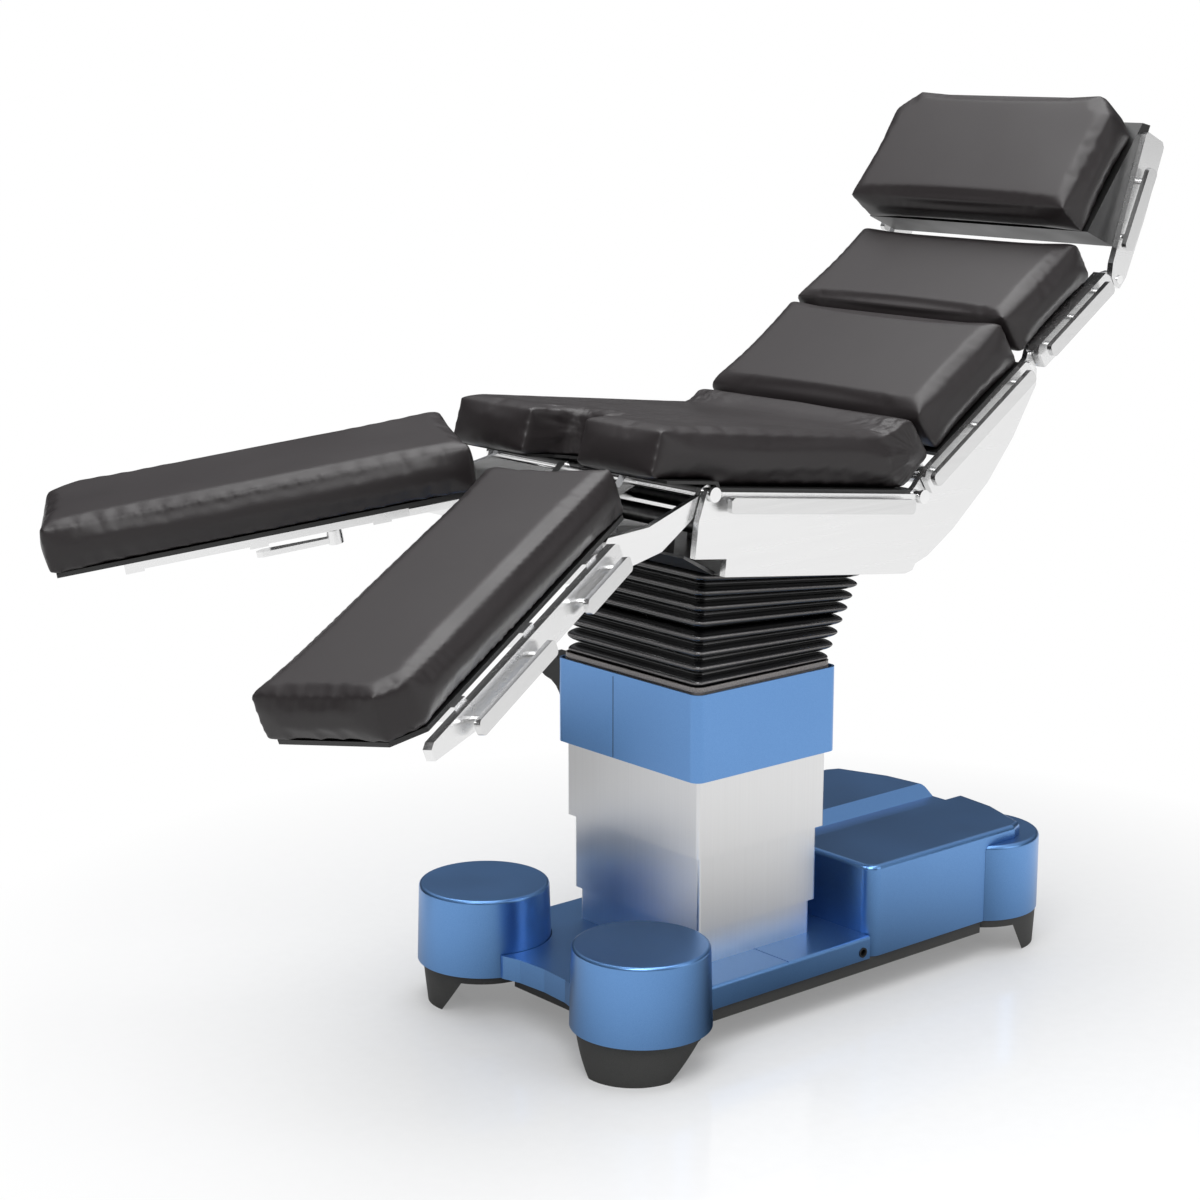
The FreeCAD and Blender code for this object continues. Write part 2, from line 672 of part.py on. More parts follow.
def make_housing():
    """Painted housing at the head end with a shallow valley along its top."""
    body = flat_plate("housing_cover", WORLD, d.cover_low, d.housing_top, housing_outline(0))
    front = d.deck_head_x.value
    round_edges(body, d.housing_corner,
                lambda edge: runs_along(edge, UP) and abs(edge.BoundBox.XMax - front) < 0.01)
    round_edges(body, d.housing_edge, lambda edge: at_height(edge, d.housing_top.value))
    sketch = new_sketch(body, "YZ_Plane", d.housing_end_x + 10)
    top = d.housing_top + 1
    draw_polygon(sketch, [(-d.valley_half, d.valley_floor), (d.valley_half, d.valley_floor),
                          (d.valley_half_top, top), (-d.valley_half_top, top)])
    pocket(body, sketch, d.housing_end_x + 20 - d.deck_head_x)
    sketch = new_sketch(body, "XY_Plane", d.cover_low)
    wall = d.cover_wall
    draw_polygon(sketch, box_points(d.deck_head_x + wall, -d.deck_half_y + wall,
                                    d.housing_end_x - 78, d.deck_half_y - wall))
    pocket(body, sketch, d.valley_floor - d.cover_low - wall, forward=True)


def make_column():
    """Three telescopic covers, and the collar round the highest."""
    lower = (d.lower_half_x, d.lower_half_y, d.stage_corner)
    middle = (d.middle_half_x, d.middle_half_y, d.stage_corner)
    upper = (d.upper_half_x, d.upper_half_y, d.stage_corner)
    collar = (d.collar_half_x, d.collar_half_y, d.collar_corner)
    trim = (d.trim_half_x, d.trim_half_y, d.trim_corner)
    wall = -d.stage_wall
    tube_cover("column_lower", lower, grown(lower, wall), d.deck_top, d.lower_top)
    tube_cover("column_middle", middle, grown(lower, d.fit), d.middle_low, d.middle_top)
    tube_cover("column_upper", upper, grown(middle, d.fit), d.upper_low, d.upper_top)
    body = tube_cover("collar", collar, grown(collar, wall), d.collar_low, d.collar_top)
    sketch = new_sketch(body, "XY_Plane", d.collar_low)
    draw_rounded(sketch, *grown(collar, wall * 0.5))
    draw_rounded(sketch, *grown(upper, d.fit))
    pad(body, sketch, d.stage_wall)
    top = d.upper_top + d.head_plate
    tube_cover("collar_trim", trim, grown(trim, -d.trim_wall), top, top + d.trim_tall)


def make_ram():
    """Lift ram that carries the column's head."""
    body = new_body("lift_ram", WORLD)
    sketch = new_sketch(body, "XY_Plane", d.ram_low)
    draw_circle(sketch, 0, 0, d.ram_radius)
    pad(body, sketch, d.upper_top - d.ram_low)


def make_column_head():
    """Head plate of the column with two ears that hold the gimbal."""
    half_x = d.trim_half_x + 1
    half_y = d.trim_half_y + 1
    top = d.upper_top + d.head_plate
    body = flat_plate("column_head", WORLD, d.upper_top, top, rectangle(half_x, half_y))
    round_edges(body, d.trim_corner, lambda edge: runs_along(edge, UP))
    for low in (-d.ear_far, d.ear_near):
        sketch = new_sketch(body, "YZ_Plane", low)
        draw_polygon(sketch, [(-d.ear_half, top - 1), (d.ear_half, top - 1), (d.ear_half, d.tilt_z + 12),
                              (d.ear_half - 12, d.tilt_z + 24), (-d.ear_half + 12, d.tilt_z + 24),
                              (-d.ear_half, d.tilt_z + 12)])
        pad(body, sketch, d.ear_far - d.ear_near)
    sketch = new_sketch(body, "YZ_Plane", d.ear_far + 1)
    draw_circle(sketch, 0, d.tilt_z, d.trunnion_radius + d.run)
    pocket(body, sketch, d.ear_far * 2 + 2)


def make_gimbal():
    """Block with four trunnions, two for each tilt axis."""
    low = d.tilt_z - d.cross_tall * 0.5
    body = flat_plate("gimbal_block", WORLD, low, low + d.cross_tall, rectangle(d.cross_half, d.cross_half))
    sketch = new_sketch(body, "YZ_Plane", -d.trunnion_end)
    draw_circle(sketch, 0, d.tilt_z, d.trunnion_radius)
    pad(body, sketch, d.trunnion_end * 2)
    add_cross_rod(body, -d.trunnion_end, d.trunnion_end, 0, d.tilt_z, d.trunnion_radius)


def make_holder_bracket():
    """Black hook on the collar's far side with a curved underside."""
    face = d.collar_half_y + d.fit
    body = new_body("holder_bracket", WORLD)
    sketch = new_sketch(body, "YZ_Plane", -152)
    draw_polygon(sketch, [(face, 514), (face + 5, 527), (face + 14, 538), (face + 27, 546),
                          (face + 44, 550), (face + 56, 556), (face + 56, 588), (face, 588)])
    pad(body, sketch, 48)


def rounded_wire(half_x, half_y, corner, place):
    """Closed rounded rectangle, placed in space."""
    x = half_x - corner
    y = half_y - corner
    edges = []
    spots = [(x, y, 0), (-x, y, 90), (-x, -y, 180), (x, -y, 270)]
    for i, (cx, cy, start) in enumerate(spots):
        arc = Part.makeCircle(corner, FreeCAD.Vector(cx, cy, 0), UP, start, start + 90)
        edges.append(arc)
        nx, ny, begin = spots[(i + 1) % 4]
        turn = math.radians(begin)
        end = FreeCAD.Vector(nx + corner * math.cos(turn), ny + corner * math.sin(turn), 0)
        edges.append(Part.makeLine(arc.valueAt(arc.LastParameter), end))
    wire = Part.Wire(edges)
    wire.Placement = place
    return wire


def bellows_station(part, crest, seat_low):
    """Ring of the bellows at one part of its height, as size and place."""
    foot = (d.upper_top + d.head_plate + d.trim_tall + d.fit).value
    shift = d.bellows_shift.value * part
    slope = math.radians(d.seat_pitch.value)
    s = (shift - LEG_HINGE[0] + seat_low * math.sin(slope)) / math.cos(slope)
    head = LEG_HINGE[1] - s * math.sin(slope) - seat_low * math.cos(slope)
    height = foot + part * (head - foot)
    turn = FreeCAD.Rotation(ACROSS, part * d.seat_pitch.value)
    place = FreeCAD.Placement(FreeCAD.Vector(shift, 0, height), turn)
    fold = 0 if crest else d.fold_deep.value
    return 153 + 43 * part - fold, 170 + 12 * part - fold, place


def make_bellows():
    """Ribbed rubber bellows between the collar and the seat tray."""
    folds = 8
    seat_low = d.panel_low.value + 4 + d.fit.value
    corner = d.fold_corner.value
    wall = d.fold_wall.value
    outer = []
    inner = []
    for i in range(2 * folds + 1):
        half_x, half_y, place = bellows_station(i / (2 * folds), i % 2 == 1, seat_low)
        outer.append(rounded_wire(half_x, half_y, corner, place))
        inner.append(rounded_wire(half_x - wall, half_y - wall, corner - wall, place))
    skin = Part.makeLoft(outer, True, True).cut(Part.makeLoft(inner, True, True))
    body = doc.addObject("Part::Feature", "Body_bellows")
    body.Label = "bellows"
    body.Shape = skin
    parts.append(body)


def make_bellows_flange():
    """Frame that holds the bellows under the seat tray."""
    body = new_body("bellows_flange", SEAT)
    sketch = new_sketch(body, "XY_Plane", -d.panel_low - 4, (d.flange_x, 0))
    outer = (d.flange_half_x, d.flange_half_y, d.flange_corner)
    draw_rounded(sketch, *outer)
    draw_rounded(sketch, *grown(outer, -d.flange_wide))
    pad(body, sketch, 4 - d.fit)


def make_side_panel(side, name):
    """Deep metal panel that carries the seat between its two hinges."""
    low, high = span(side, outer_low(), d.outer_high)
    end = d.seat_length + 6
    points = [(-12, 4), (-16, -14), (-d.panel_foot, -45), (-d.panel_foot, -d.panel_step),
              (d.panel_notch, -d.panel_step), (d.panel_notch, -d.panel_low), (end - 26, -d.panel_low),
              (end - 8, -d.panel_low + 6), (end, -d.panel_low + 24), (end, 4)]
    body = side_plate("side_panel_" + name, SEAT, low, high, points)
    out_low, out_high = span(side, d.outer_high, d.outer_high + 3)
    add_side_plate(body, out_low, out_high, box_points(18, -4, d.seat_length - 18, 4))
    for x in (dim(0), d.seat_length):
        cut_cross_bore(body, low - 5, high + 5, x, 0, d.hinge_radius + d.run)


def make_seat_tray():
    """Bent tray between the panels, with the yoke that hangs on the gimbal."""
    low, high = -outer_low() + d.fit, outer_low() - d.fit
    narrow = d.middle_plane_low - 2
    deep = -d.panel_low
    top = deep + d.tray_wall
    step = -d.panel_step
    flat = box_points(d.panel_notch, deep, seat_end(), top)
    bent = [(d.panel_notch - 4, deep), (d.panel_notch + 4, deep), (d.panel_notch + 4, top),
            (-d.panel_foot + 2, step + 1), (-d.panel_foot, step - 3)]
    body = side_plate("seat_tray", SEAT, low, high, flat)
    add_side_plate(body, -narrow, narrow, bent)
    centre = seat_point(0, d.tilt_z.value)
    for side in (-1, 1):
        ear_low, ear_high = span(side, d.ear_near, d.ear_far)
        x = centre[0]
        z = centre[1]
        add_side_plate(body, ear_low, ear_high, [(x - 25, deep + 1), (x - 25, z - 10), (x - 13, z - 22),
                                                 (x + 13, z - 22), (x + 25, z - 10), (x + 25, deep + 1)])
    cut_cross_bore(body, -d.ear_far - 1, d.ear_far + 1, centre[0], centre[1], d.trunnion_radius + d.run)


def make_seat_tubes():
    """Two cross tubes between the side panels, each on two posts from the tray."""
    body = new_body("seat_cross_tubes", SEAT)
    body.AllowCompound = True
    reach = outer_low() - d.fit
    floor = d.tray_wall - d.panel_low
    for x in (d.tube_place, d.seat_length - d.tube_back):
        add_cross_rod(body, -reach, reach, x, -62, d.tube_seat_radius)
        for side in (-1, 1):
            post_low, post_high = span(side, 100, 112)
            add_side_plate(body, post_low, post_high, box_points(x - 12, floor, x + 12, -62))


def seat_point(x, z):
    """A point of the world's XZ plane in the seat's frame."""
    local = SEAT.inverse().multVec(FreeCAD.Vector(x, 0, z))
    return local.x, local.z


def make_seat_board():
    """Seat board, stepped over the leg hinge and cut out at its foot end."""
    half = d.outer_high - 4
    low = d.seat_pad_low - 5.7
    high = d.seat_pad_low - d.fit
    front_low = d.seat_pad_front_low - 5
    front_high = d.seat_pad_front_low - d.fit
    points = [(-d.seat_front + 9, front_low), (9, front_low), (14.5, low), (seat_end(), low),
              (seat_end(), high), (20 - d.fit, high), (14 - d.fit, front_high), (-d.seat_front + 9, front_high)]
    body = side_plate("seat_board", SEAT, -half, half, points)
    cut_out(body, d.cutout_half + 2, d.cutout_deep + 2)


def cut_out(body, half, deep):
    """Cut the U-shaped perineal opening into the foot end of a seat part."""
    start = -d.seat_front - 20
    end = -d.seat_front + deep
    sketch = new_sketch(body, "XY_Plane", d.seat_top + 60)
    slope = dim(half) * 0.42
    draw_polygon(sketch, [(start, -half - 6), (end - slope, -half), (end - slope * 0.35, -half + slope * 0.35),
                          (end, -half + slope), (end, half - slope), (end - slope * 0.35, half - slope * 0.35),
                          (end - slope, half), (start, half + 6)])
    pocket(body, sketch, 200)


def make_seat_pad():
    """Seat pad with its roll at the back hinge and the cut-out."""
    top = d.seat_top
    low = d.seat_pad_low
    front = d.seat_pad_front_low
    end = seat_end()
    points = [(-d.seat_front - 14, front), (14, front), (20, low), (end, low), (end + 12, low + 8),
              (end + 25, 34), (end + 58, 70), (end + 36, 95), (end + 8, top + d.seat_rise - 4),
              (end + 2, top + d.seat_rise), (end - 12, top + d.seat_rise), (end - 36, top + 9),
              (end - 60, top), (-d.seat_front, top), (-d.seat_front - 7, 60)]
    body = side_plate("seat_pad", SEAT, -d.pad_half, d.pad_half, points)
    cut_out(body, d.cutout_half, d.cutout_deep)
    round_edges(body, 8, lambda edge: pad_rim(edge, d.pad_half.value, 24))


def pad_rim(edge, half, low):
    """Long upper edges at a pad's two sides."""
    box = edge.BoundBox
    at_side = abs(abs(box.YMin) - half) < 0.01 and abs(box.YMin - box.YMax) < 0.01
    return at_side and box.ZMin > low + 40 and box.XLength > 80


def make_rails(label, place, sides, runs):
    """Accessory rails on posts; each run is start, end, underside and posts."""
    body = new_body(label, place)
    body.AllowCompound = True
    for side in sides:
        for start, end, low, posts in runs:
            rail_low, rail_high = span(side, d.rail_low, d.rail_high)
            high = dim(low) + d.rail_tall
            add_side_plate(body, rail_low, rail_high, box_points(start, low, end, high))
            post_low, post_high = span(side, d.outer_high, d.rail_low)
            for x in posts:
                middle = dim(low) + d.rail_tall * 0.5
                add_cross_rod(body, post_low, post_high, x, middle, d.post_radius)
    inner = d.rail_low.value - 0.01
    round_edges(body, 8, lambda edge: runs_along(edge, ACROSS)
                and min(abs(edge.BoundBox.YMin), abs(edge.BoundBox.YMax)) > inner)


def make_shaft(label, place, x, z, end):
    """Hinge shaft across the table with a head on each end."""
    body = new_body(label, place)
    shoulder = d.outer_high + 3 + d.fit
    add_cross_rod(body, -shoulder, shoulder, x, z, d.hinge_radius)
    for side in (-1, 1):
        low, high = span(side, shoulder, end)
        add_cross_rod(body, low, high, x, z, d.hinge_head)


def make_pins(label, place, low, high, x, radius):
    """Two short hinge pins, one on each side, on a section's axis."""
    body = new_body(label, place)
    body.AllowCompound = True
    for side in (-1, 1):
        pin_low, pin_high = span(side, low, high)
        add_cross_rod(body, pin_low, pin_high, x, 0, radius)


def make_lower_back_frame():
    """Lower back frame: fin plates and rail plates on both sides, two cross tubes."""
    top = d.lower_pad_low - d.fit - d.board
    split = d.split
    fin = [(-14, 12), (-18, -16), (-81, -96), (-30, -d.fin_deep + 2), (43, -d.fin_deep), (155, -100),
           (247, -74), (split - 3, -33), (split + 13, -10), (split + 13, 10), (split - 2, 13),
           (split - 20, top), (26, top), (8, 13)]
    bar = [(24, -13), (split - 18, -13), (split - 10, -4), (split - 10, 22), (split - 16, 30), (34, 30),
           (24, 22)]
    block = box_points(40, -10, split - 24, 14)
    body = new_body("lower_back_frame", BACK)
    for x in (104, 235):
        add_cross_rod(body, -d.middle_plane_low - 2, d.middle_plane_low + 2, x, -58, d.tube_seat_radius)
    for side in (-1, 1):
        add_side_plate(body, *span(side, d.middle_plane_low, d.middle_plane_high), fin)
        add_side_plate(body, *span(side, d.middle_plane_high - 1, outer_low() + 1), block)
        add_side_plate(body, *span(side, outer_low(), d.outer_high), bar)
        for x in (104, 235):
            strut = box_points(x - 10, -62, x + 10, top)
            add_side_plate(body, *span(side, 150, 170), strut)
    reach = d.outer_high + 5
    cut_cross_bore(body, -reach, reach, 0, 0, d.hinge_radius + d.run)
    cut_cross_bore(body, -reach, reach, split, 0, 8 + d.run)


def make_back_board(label, start, end, pad_low, half, thick):
    """Board under a back pad."""
    high = dim(pad_low) - d.fit
    flat_plate(label, BACK, high - thick, high, box_points(start, -dim(half), end, half))


def make_back_pads():
    """The two pads of the back."""
    low = d.lower_pad_low
    top = d.back_top
    seam = d.split - 10
    end = seam - d.seam_gap * 0.5
    start = d.lower_pad_start
    points = [(start, low), (end, low), (end, top), (start + 14, top), (start - 2, top - 6),
              (start - 8, top - 16), (start - 6, 60)]
    body = side_plate("lower_back_pad", BACK, -d.pad_half, d.pad_half, points)
    round_edges(body, d.pad_edge, lambda edge: pad_rim(edge, d.pad_half.value, 24))
    low = d.upper_pad_low
    start = seam + d.seam_gap * 0.5
    points = [(start, low), (d.upper_pad_end, low), (d.upper_pad_end, top - 10), (d.upper_pad_end - 8, top),
              (start, top)]
    body = side_plate("upper_back_pad", BACK, -d.pad_half, d.pad_half, points)
    round_edges(body, d.pad_edge, lambda edge: pad_rim(edge, d.pad_half.value, 24))


def make_upper_back_frame():
    """Upper back frame: hinge plates and rail plates on both sides, one cross tube."""
    top = d.upper_pad_low - d.fit - d.board
    split = d.split
    end = d.back_length
    plate = [(split - 13, -10), (split, -14), (end, -14), (end + 13, -8), (end + 13, 8), (end, 14),
             (end - 30, 20), (end - 40, top), (split + 28, top), (split + 12, 13), (split - 13, 10)]
    block = [(split + 20, -10), (end - 22, -10), (end - 17, -4), (end - 17, 20), (end - 24, 33),
             (split + 28, 33), (split + 20, 26)]
    body = new_body("upper_back_frame", BACK)
    add_cross_rod(body, -d.inner_low - 2, d.inner_low + 2, split + 90, 0, 14)
    for side in (-1, 1):
        add_side_plate(body, *span(side, d.inner_low, d.inner_high), plate)
        add_side_plate(body, *span(side, d.inner_high - 1, d.outer_high), block)
        strut = box_points(split + 80, -4, split + 100, top)
        add_side_plate(body, *span(side, 150, 170), strut)
    reach = d.outer_high + 5
    cut_cross_bore(body, -reach, reach, split, 0, 8 + d.run)
    cut_cross_bore(body, -reach, reach, end, 0, 8 + d.run)


def make_head_frame():
    """Head frame: side plates, a cross tube and a strap up to the board."""
    end = d.head_length
    points = [(-14, -8), (-14, 8), (-4, 22), (20, 30), (end - 6, 50), (end, 44), (end, 0), (end - 8, -8),
              (120, -16), (10, -16)]
    body = new_body("head_frame", HEAD)
    add_cross_rod(body, -outer_low() - 2, outer_low() + 2, 150, 8, 14)
    for side in (-1, 1):
        add_side_plate(body, *span(side, outer_low(), d.outer_high), points)
        add_side_plate(body, *span(side, 140, 160), box_points(138, 8, 162, 31.5))
    reach = d.outer_high + 5
    cut_cross_bore(body, -reach, reach, 0, 0, 8 + d.run)


def make_head_section():
    """Black wedge board and the head pad that lies on it."""
    half = outer_low() - d.fit
    start = (d.head_pad_u.value, d.head_pad_n.value)
    under = along(start, d.fit.value, -90 - d.head_tilt.value)
    low = along(under, 8, -d.head_tilt.value)
    end = along(under, d.head_pad_long.value - 8, -d.head_tilt.value)
    wedge = [(50, 32), low, end, (280, 32)]
    side_plate("head_board", HEAD, -half, half, wedge)
    tilt = FreeCAD.Rotation(ACROSS, d.head_tilt.value)
    place = HEAD.multiply(FreeCAD.Placement(FreeCAD.Vector(start[0], 0, start[1]), tilt))
    long = d.head_pad_long
    cut = d.head_pad_corner
    side = d.pad_half
    outline = [(0, -side), (long - cut, -side), (long, -side + cut), (long, side - cut),
               (long - cut, side), (0, side)]
    body = flat_plate("head_pad", place, 0, d.head_pad_thick, outline)
    top = d.head_pad_thick.value
    round_edges(body, 6, lambda edge: at_height(edge, top))


def make_link(side, name, pitch):
    """Leg link: side plate, cross beam and inner arm, turning on the leg hinge."""
    place = leg_pitch_frame(pitch)
    low, high = span(side, d.middle_plane_low, d.middle_plane_high)
    end = d.link_end
    plate = [(-12, 8), (-14, -4), (-6, -14), (116, -44), (end - 4, -32), (end, -26), (end, 24),
             (end - 6, 28), (126, 5), (14, 3), (6, 12), (-6, 12)]
    body = side_plate("leg_link_" + name, place, low, high, plate)
    beam_low, beam_high = span(side, 84, d.middle_plane_low + 1)
    add_side_plate(body, beam_low, beam_high, box_points(d.pivot_u - 26, -28, end, -2))
    arm_low, arm_high = span(side, 70, 86)
    arm = [(-12, 8), (-12, -8), (-4, -13), (30, -13), (d.pivot_u - 30, -28), (end, -28), (end, -2),
           (30, -1), (8, 12), (-4, 12)]
    add_side_plate(body, arm_low, arm_high, arm)
    cut_cross_bore(body, min_dim(low, arm_low) - 5, max_dim(high, arm_high) + 5, 0, 0,
                   d.hinge_radius + d.run)
    sketch = new_sketch(body, "XY_Plane", 5)
    draw_circle(sketch, d.pivot_u, side * d.pivot_v, d.pivot_radius + d.run)
    pocket(body, sketch, 60)


def min_dim(a, b):
    """The smaller of two sizes."""
    return a if a.value < b.value else b


def max_dim(a, b):
    """The larger of two sizes."""
    return a if a.value > b.value else b


def make_leg(side, name, pitch, splay):
    """Leg section: pad, board, frame and lock lever."""
    place = leg_splay_frame(pitch, splay, side)
    start = d.leg_pad_start
    inner = d.leg_pad_inner
    outer = inner + d.leg_pad_wide
    end = start + d.leg_pad_long
    pad_low = d.leg_pad_top - d.leg_pad_thick
    outline = [(start, inner), (end, inner), (end, outer - d.leg_corner_v), (end - d.leg_corner_u, outer),
               (start + d.leg_slant, outer)]
    make_leg_pad(name, place, side, outline, pad_low)
    inset = [(start + 10, inner + 14), (end - 14, inner + 14), (end - 14, outer - d.leg_corner_v - 10),
             (end - d.leg_corner_u - 10, outer - 6), (start + d.leg_slant + 10, outer - 6)]
    flat_plate("leg_board_" + name, place, pad_low - 8, pad_low - d.fit, mirrored(inset, side))
    make_leg_frame(name, place, side, pad_low)
    make_lever(side, name, place)


def mirrored(points, side):
    """Points for one side of the table."""
    return [(x, side * dim(y)) for x, y in points]


def make_leg_pad(name, place, side, outline, pad_low):
    """Leg pad, cut at its outer foot corner."""
    body = flat_plate("leg_pad_" + name, place, pad_low, d.leg_pad_top, mirrored(outline, side))
    top = d.leg_pad_top.value
    round_edges(body, 5, lambda edge: at_height(edge, top))


def make_leg_frame(name, place, side, pad_low):
    """Metal frame of a leg: hip plate with its pivot pin, side plate and ribs."""
    u = d.pivot_u
    start = d.leg_plate_start
    end = d.leg_plate_end
    outer = outer_low() - 2
    hip = [(u - 20, 90), (start + 80, 90), (start + 80, outer), (start + 50, outer), (start + 24, 222),
           (u - 20, 222)]
    body = flat_plate("leg_frame_" + name, place, 0.4, 12, mirrored(hip, side))
    low, high = span(side, outer_low() - 3, d.outer_high)
    plate = [(start, -14), (end - 120, -14), (end, 6), (end, 24), (end - 10, 30), (start + 10, 30),
             (start, 22)]
    add_side_plate(body, low, high, plate)
    rib_low, rib_high = span(side, 50, outer)
    for x in (start + 50, start + 250, start + 450):
        add_side_plate(body, rib_low, rib_high, box_points(x, 10, x + 30, pad_low - 8))
    bar_low, bar_high = span(side, 50, 74)
    add_side_plate(body, bar_low, bar_high, box_points(start + 20, 14, start + 480, pad_low - 8))
    sketch = new_sketch(body, "XY_Plane", -34)
    draw_circle(sketch, u, side * d.pivot_v, d.pivot_radius)
    pad(body, sketch, 40)


def make_lever(side, name, place):
    """Lock lever that turns under the leg on a short stud."""
    body = new_body("lock_lever_" + name, place)
    sketch = new_sketch(body, "XY_Plane", -10)
    draw_circle(sketch, d.lever_u, side * d.lever_v, 13)
    pad(body, sketch, 23.6)
    sketch = new_sketch(body, "XY_Plane", -8)
    half = 6
    centre = side * d.lever_v
    draw_polygon(sketch, [(d.lever_u + 4, centre - half), (d.lever_u + d.lever_long - 10, centre - half - 3),
                          (d.lever_u + d.lever_long, centre - 4), (d.lever_u + d.lever_long, centre + 4),
                          (d.lever_u + d.lever_long - 10, centre + half + 3), (d.lever_u + 4, centre + half)])
    pad(body, sketch, 9)


def make_top():
    """Seat, back and head sections."""
    both = (-1, 1)
    make_side_panel(-1, "near")
    make_side_panel(1, "far")
    make_seat_tray()
    make_seat_tubes()
    make_bellows_flange()
    make_seat_board()
    make_seat_pad()
    end = d.seat_length - 35
    make_rails("seat_rails", SEAT, both, [(24, end, -28, (60, 200, end - 120, end - 30))])
    make_shaft("leg_hinge_shaft", SEAT, 0, 0, d.hinge_end)
    make_shaft("back_hinge_shaft", SEAT, d.seat_length, 0, d.hinge_end)
    make_lower_back_frame()
    make_back_board("lower_back_board", d.lower_pad_start, d.split - 14, d.lower_pad_low,
                    d.pad_half - d.pad_gap, d.board)
    make_rails("lower_back_rails", BACK, both, [(24, 318, 2, (50, 172, 290))])
    make_pins("split_pins", BACK, d.inner_low - 2, d.middle_plane_high + 1, d.split, 8)
    make_upper_back_frame()
    make_back_board("upper_back_board", d.split + 22, d.upper_pad_end - 6, d.upper_pad_low,
                    d.inner_high - 2, d.board)
    make_rails("upper_back_rails", BACK, both, [(374, 566, 6, (392, 470, 545))])
    make_back_pads()
    make_pins("head_pins", HEAD, d.inner_low - 2, d.outer_high + 2, 0, 8)
    make_head_frame()
    make_rails("head_rails", HEAD, both, [(48, 200, 14, (70, 176))])
    make_head_section()


def make_legs():
    """Both leg sections; in the leg frame the near side is +Y."""
    start = d.leg_plate_start
    runs = [(start + 14, start + 154, -12, (start + 34, start + 134)),
            (start + 259, start + 484, -12, (start + 285, start + 458))]
    for side, name, pitch, splay in ((1, "near", d.near_pitch.value, d.near_splay.value),
                                     (-1, "far", d.far_pitch.value, d.far_splay.value)):
        make_link(side, name, pitch)
        make_leg(side, name, pitch, splay)
        make_rails("leg_rails_" + name, leg_splay_frame(pitch, splay, side), (side,), runs)


def make_base():
    """Base with its covers, feet, chassis and lift cylinder."""
    make_deck_cover()
    make_service_socket()
    make_skirt()
    make_chassis()
    make_housing()
    for side, name in ((-1, "near"), (1, "far")):
        make_drum(side, name)
        make_pod(side, name)


def check_and_write():
    """Stop on any failed object, then write one file for each sub-part."""
    doc.recompute()
    for item in doc.Objects:
        if "Invalid" in item.State or "Error" in item.State:
            raise RuntimeError("%s failed: %s" % (item.Label, item.State))
    os.makedirs("parts", exist_ok=True)
    for item in parts:
        if item.Shape.isNull() or not item.Shape.isValid():
            raise RuntimeError("%s has no valid shape" % item.Label)
    for item in parts:
        item.Shape.exportStep(os.path.join("parts", item.Label + ".step"))


make_base()
make_column()
make_ram()
make_column_head()
make_gimbal()
make_holder_bracket()
make_bellows()
make_top()
make_legs()
check_and_write()
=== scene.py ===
import json
import math

import bmesh
import bpy
from mathutils import Matrix, Vector


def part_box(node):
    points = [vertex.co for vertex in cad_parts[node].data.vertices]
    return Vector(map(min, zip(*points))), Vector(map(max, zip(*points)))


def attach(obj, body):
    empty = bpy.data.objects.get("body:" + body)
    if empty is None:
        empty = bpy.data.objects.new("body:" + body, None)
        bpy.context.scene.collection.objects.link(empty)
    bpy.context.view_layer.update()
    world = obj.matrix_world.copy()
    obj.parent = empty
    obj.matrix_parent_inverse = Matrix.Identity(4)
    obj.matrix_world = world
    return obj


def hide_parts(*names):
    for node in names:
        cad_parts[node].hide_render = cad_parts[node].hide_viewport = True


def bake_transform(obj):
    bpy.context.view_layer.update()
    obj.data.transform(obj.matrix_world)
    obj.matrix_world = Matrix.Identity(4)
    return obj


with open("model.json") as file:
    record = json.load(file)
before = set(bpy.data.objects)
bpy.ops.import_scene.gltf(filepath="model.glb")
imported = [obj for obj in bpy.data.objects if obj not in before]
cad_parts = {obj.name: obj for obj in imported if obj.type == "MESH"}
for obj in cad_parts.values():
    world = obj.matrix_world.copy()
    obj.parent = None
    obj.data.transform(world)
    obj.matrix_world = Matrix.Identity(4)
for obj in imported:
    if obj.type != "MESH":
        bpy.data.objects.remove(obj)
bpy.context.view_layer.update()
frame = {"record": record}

# Sizes are in metres, in the frame of the CAD model: +Z up, +X to the head
# end, -Y the near side, origin on the floor under the column.

LEG_HINGE = Vector((-0.222, 0, 0.951))
SEAT_PITCH = math.radians(7)


def group(name, inputs, outputs):
    """Empty node group with float or colour sockets."""
    tree = bpy.data.node_groups.new(name, "ShaderNodeTree")
    for label, kind, value in inputs:
        socket = tree.interface.new_socket(label, in_out="INPUT", socket_type=kind)
        socket.default_value = value
    for label, kind in outputs:
        tree.interface.new_socket(label, in_out="OUTPUT", socket_type=kind)
    enter = tree.nodes.new("NodeGroupInput")
    leave = tree.nodes.new("NodeGroupOutput")
    return tree, enter, leave


def add_node(tree, kind, **values):
    """Node with its properties set by name."""
    node = tree.nodes.new(kind)
    for key, value in values.items():
        setattr(node, key, value)
    return node


def feed(tree, socket, item):
    """Set a socket to a number, or link it to another socket."""
    if isinstance(item, (int, float)):
        socket.default_value = item
    else:
        tree.links.new(item, socket)


def noise(tree, place, scale, detail=2.0, roughness=0.5):
    """Noise texture read at a place."""
    node = add_node(tree, "ShaderNodeTexNoise")
    feed(tree, node.inputs["Scale"], scale)
    node.inputs["Detail"].default_value = detail
    node.inputs["Roughness"].default_value = roughness
    tree.links.new(place, node.inputs["Vector"])
    return node.outputs["Fac"]


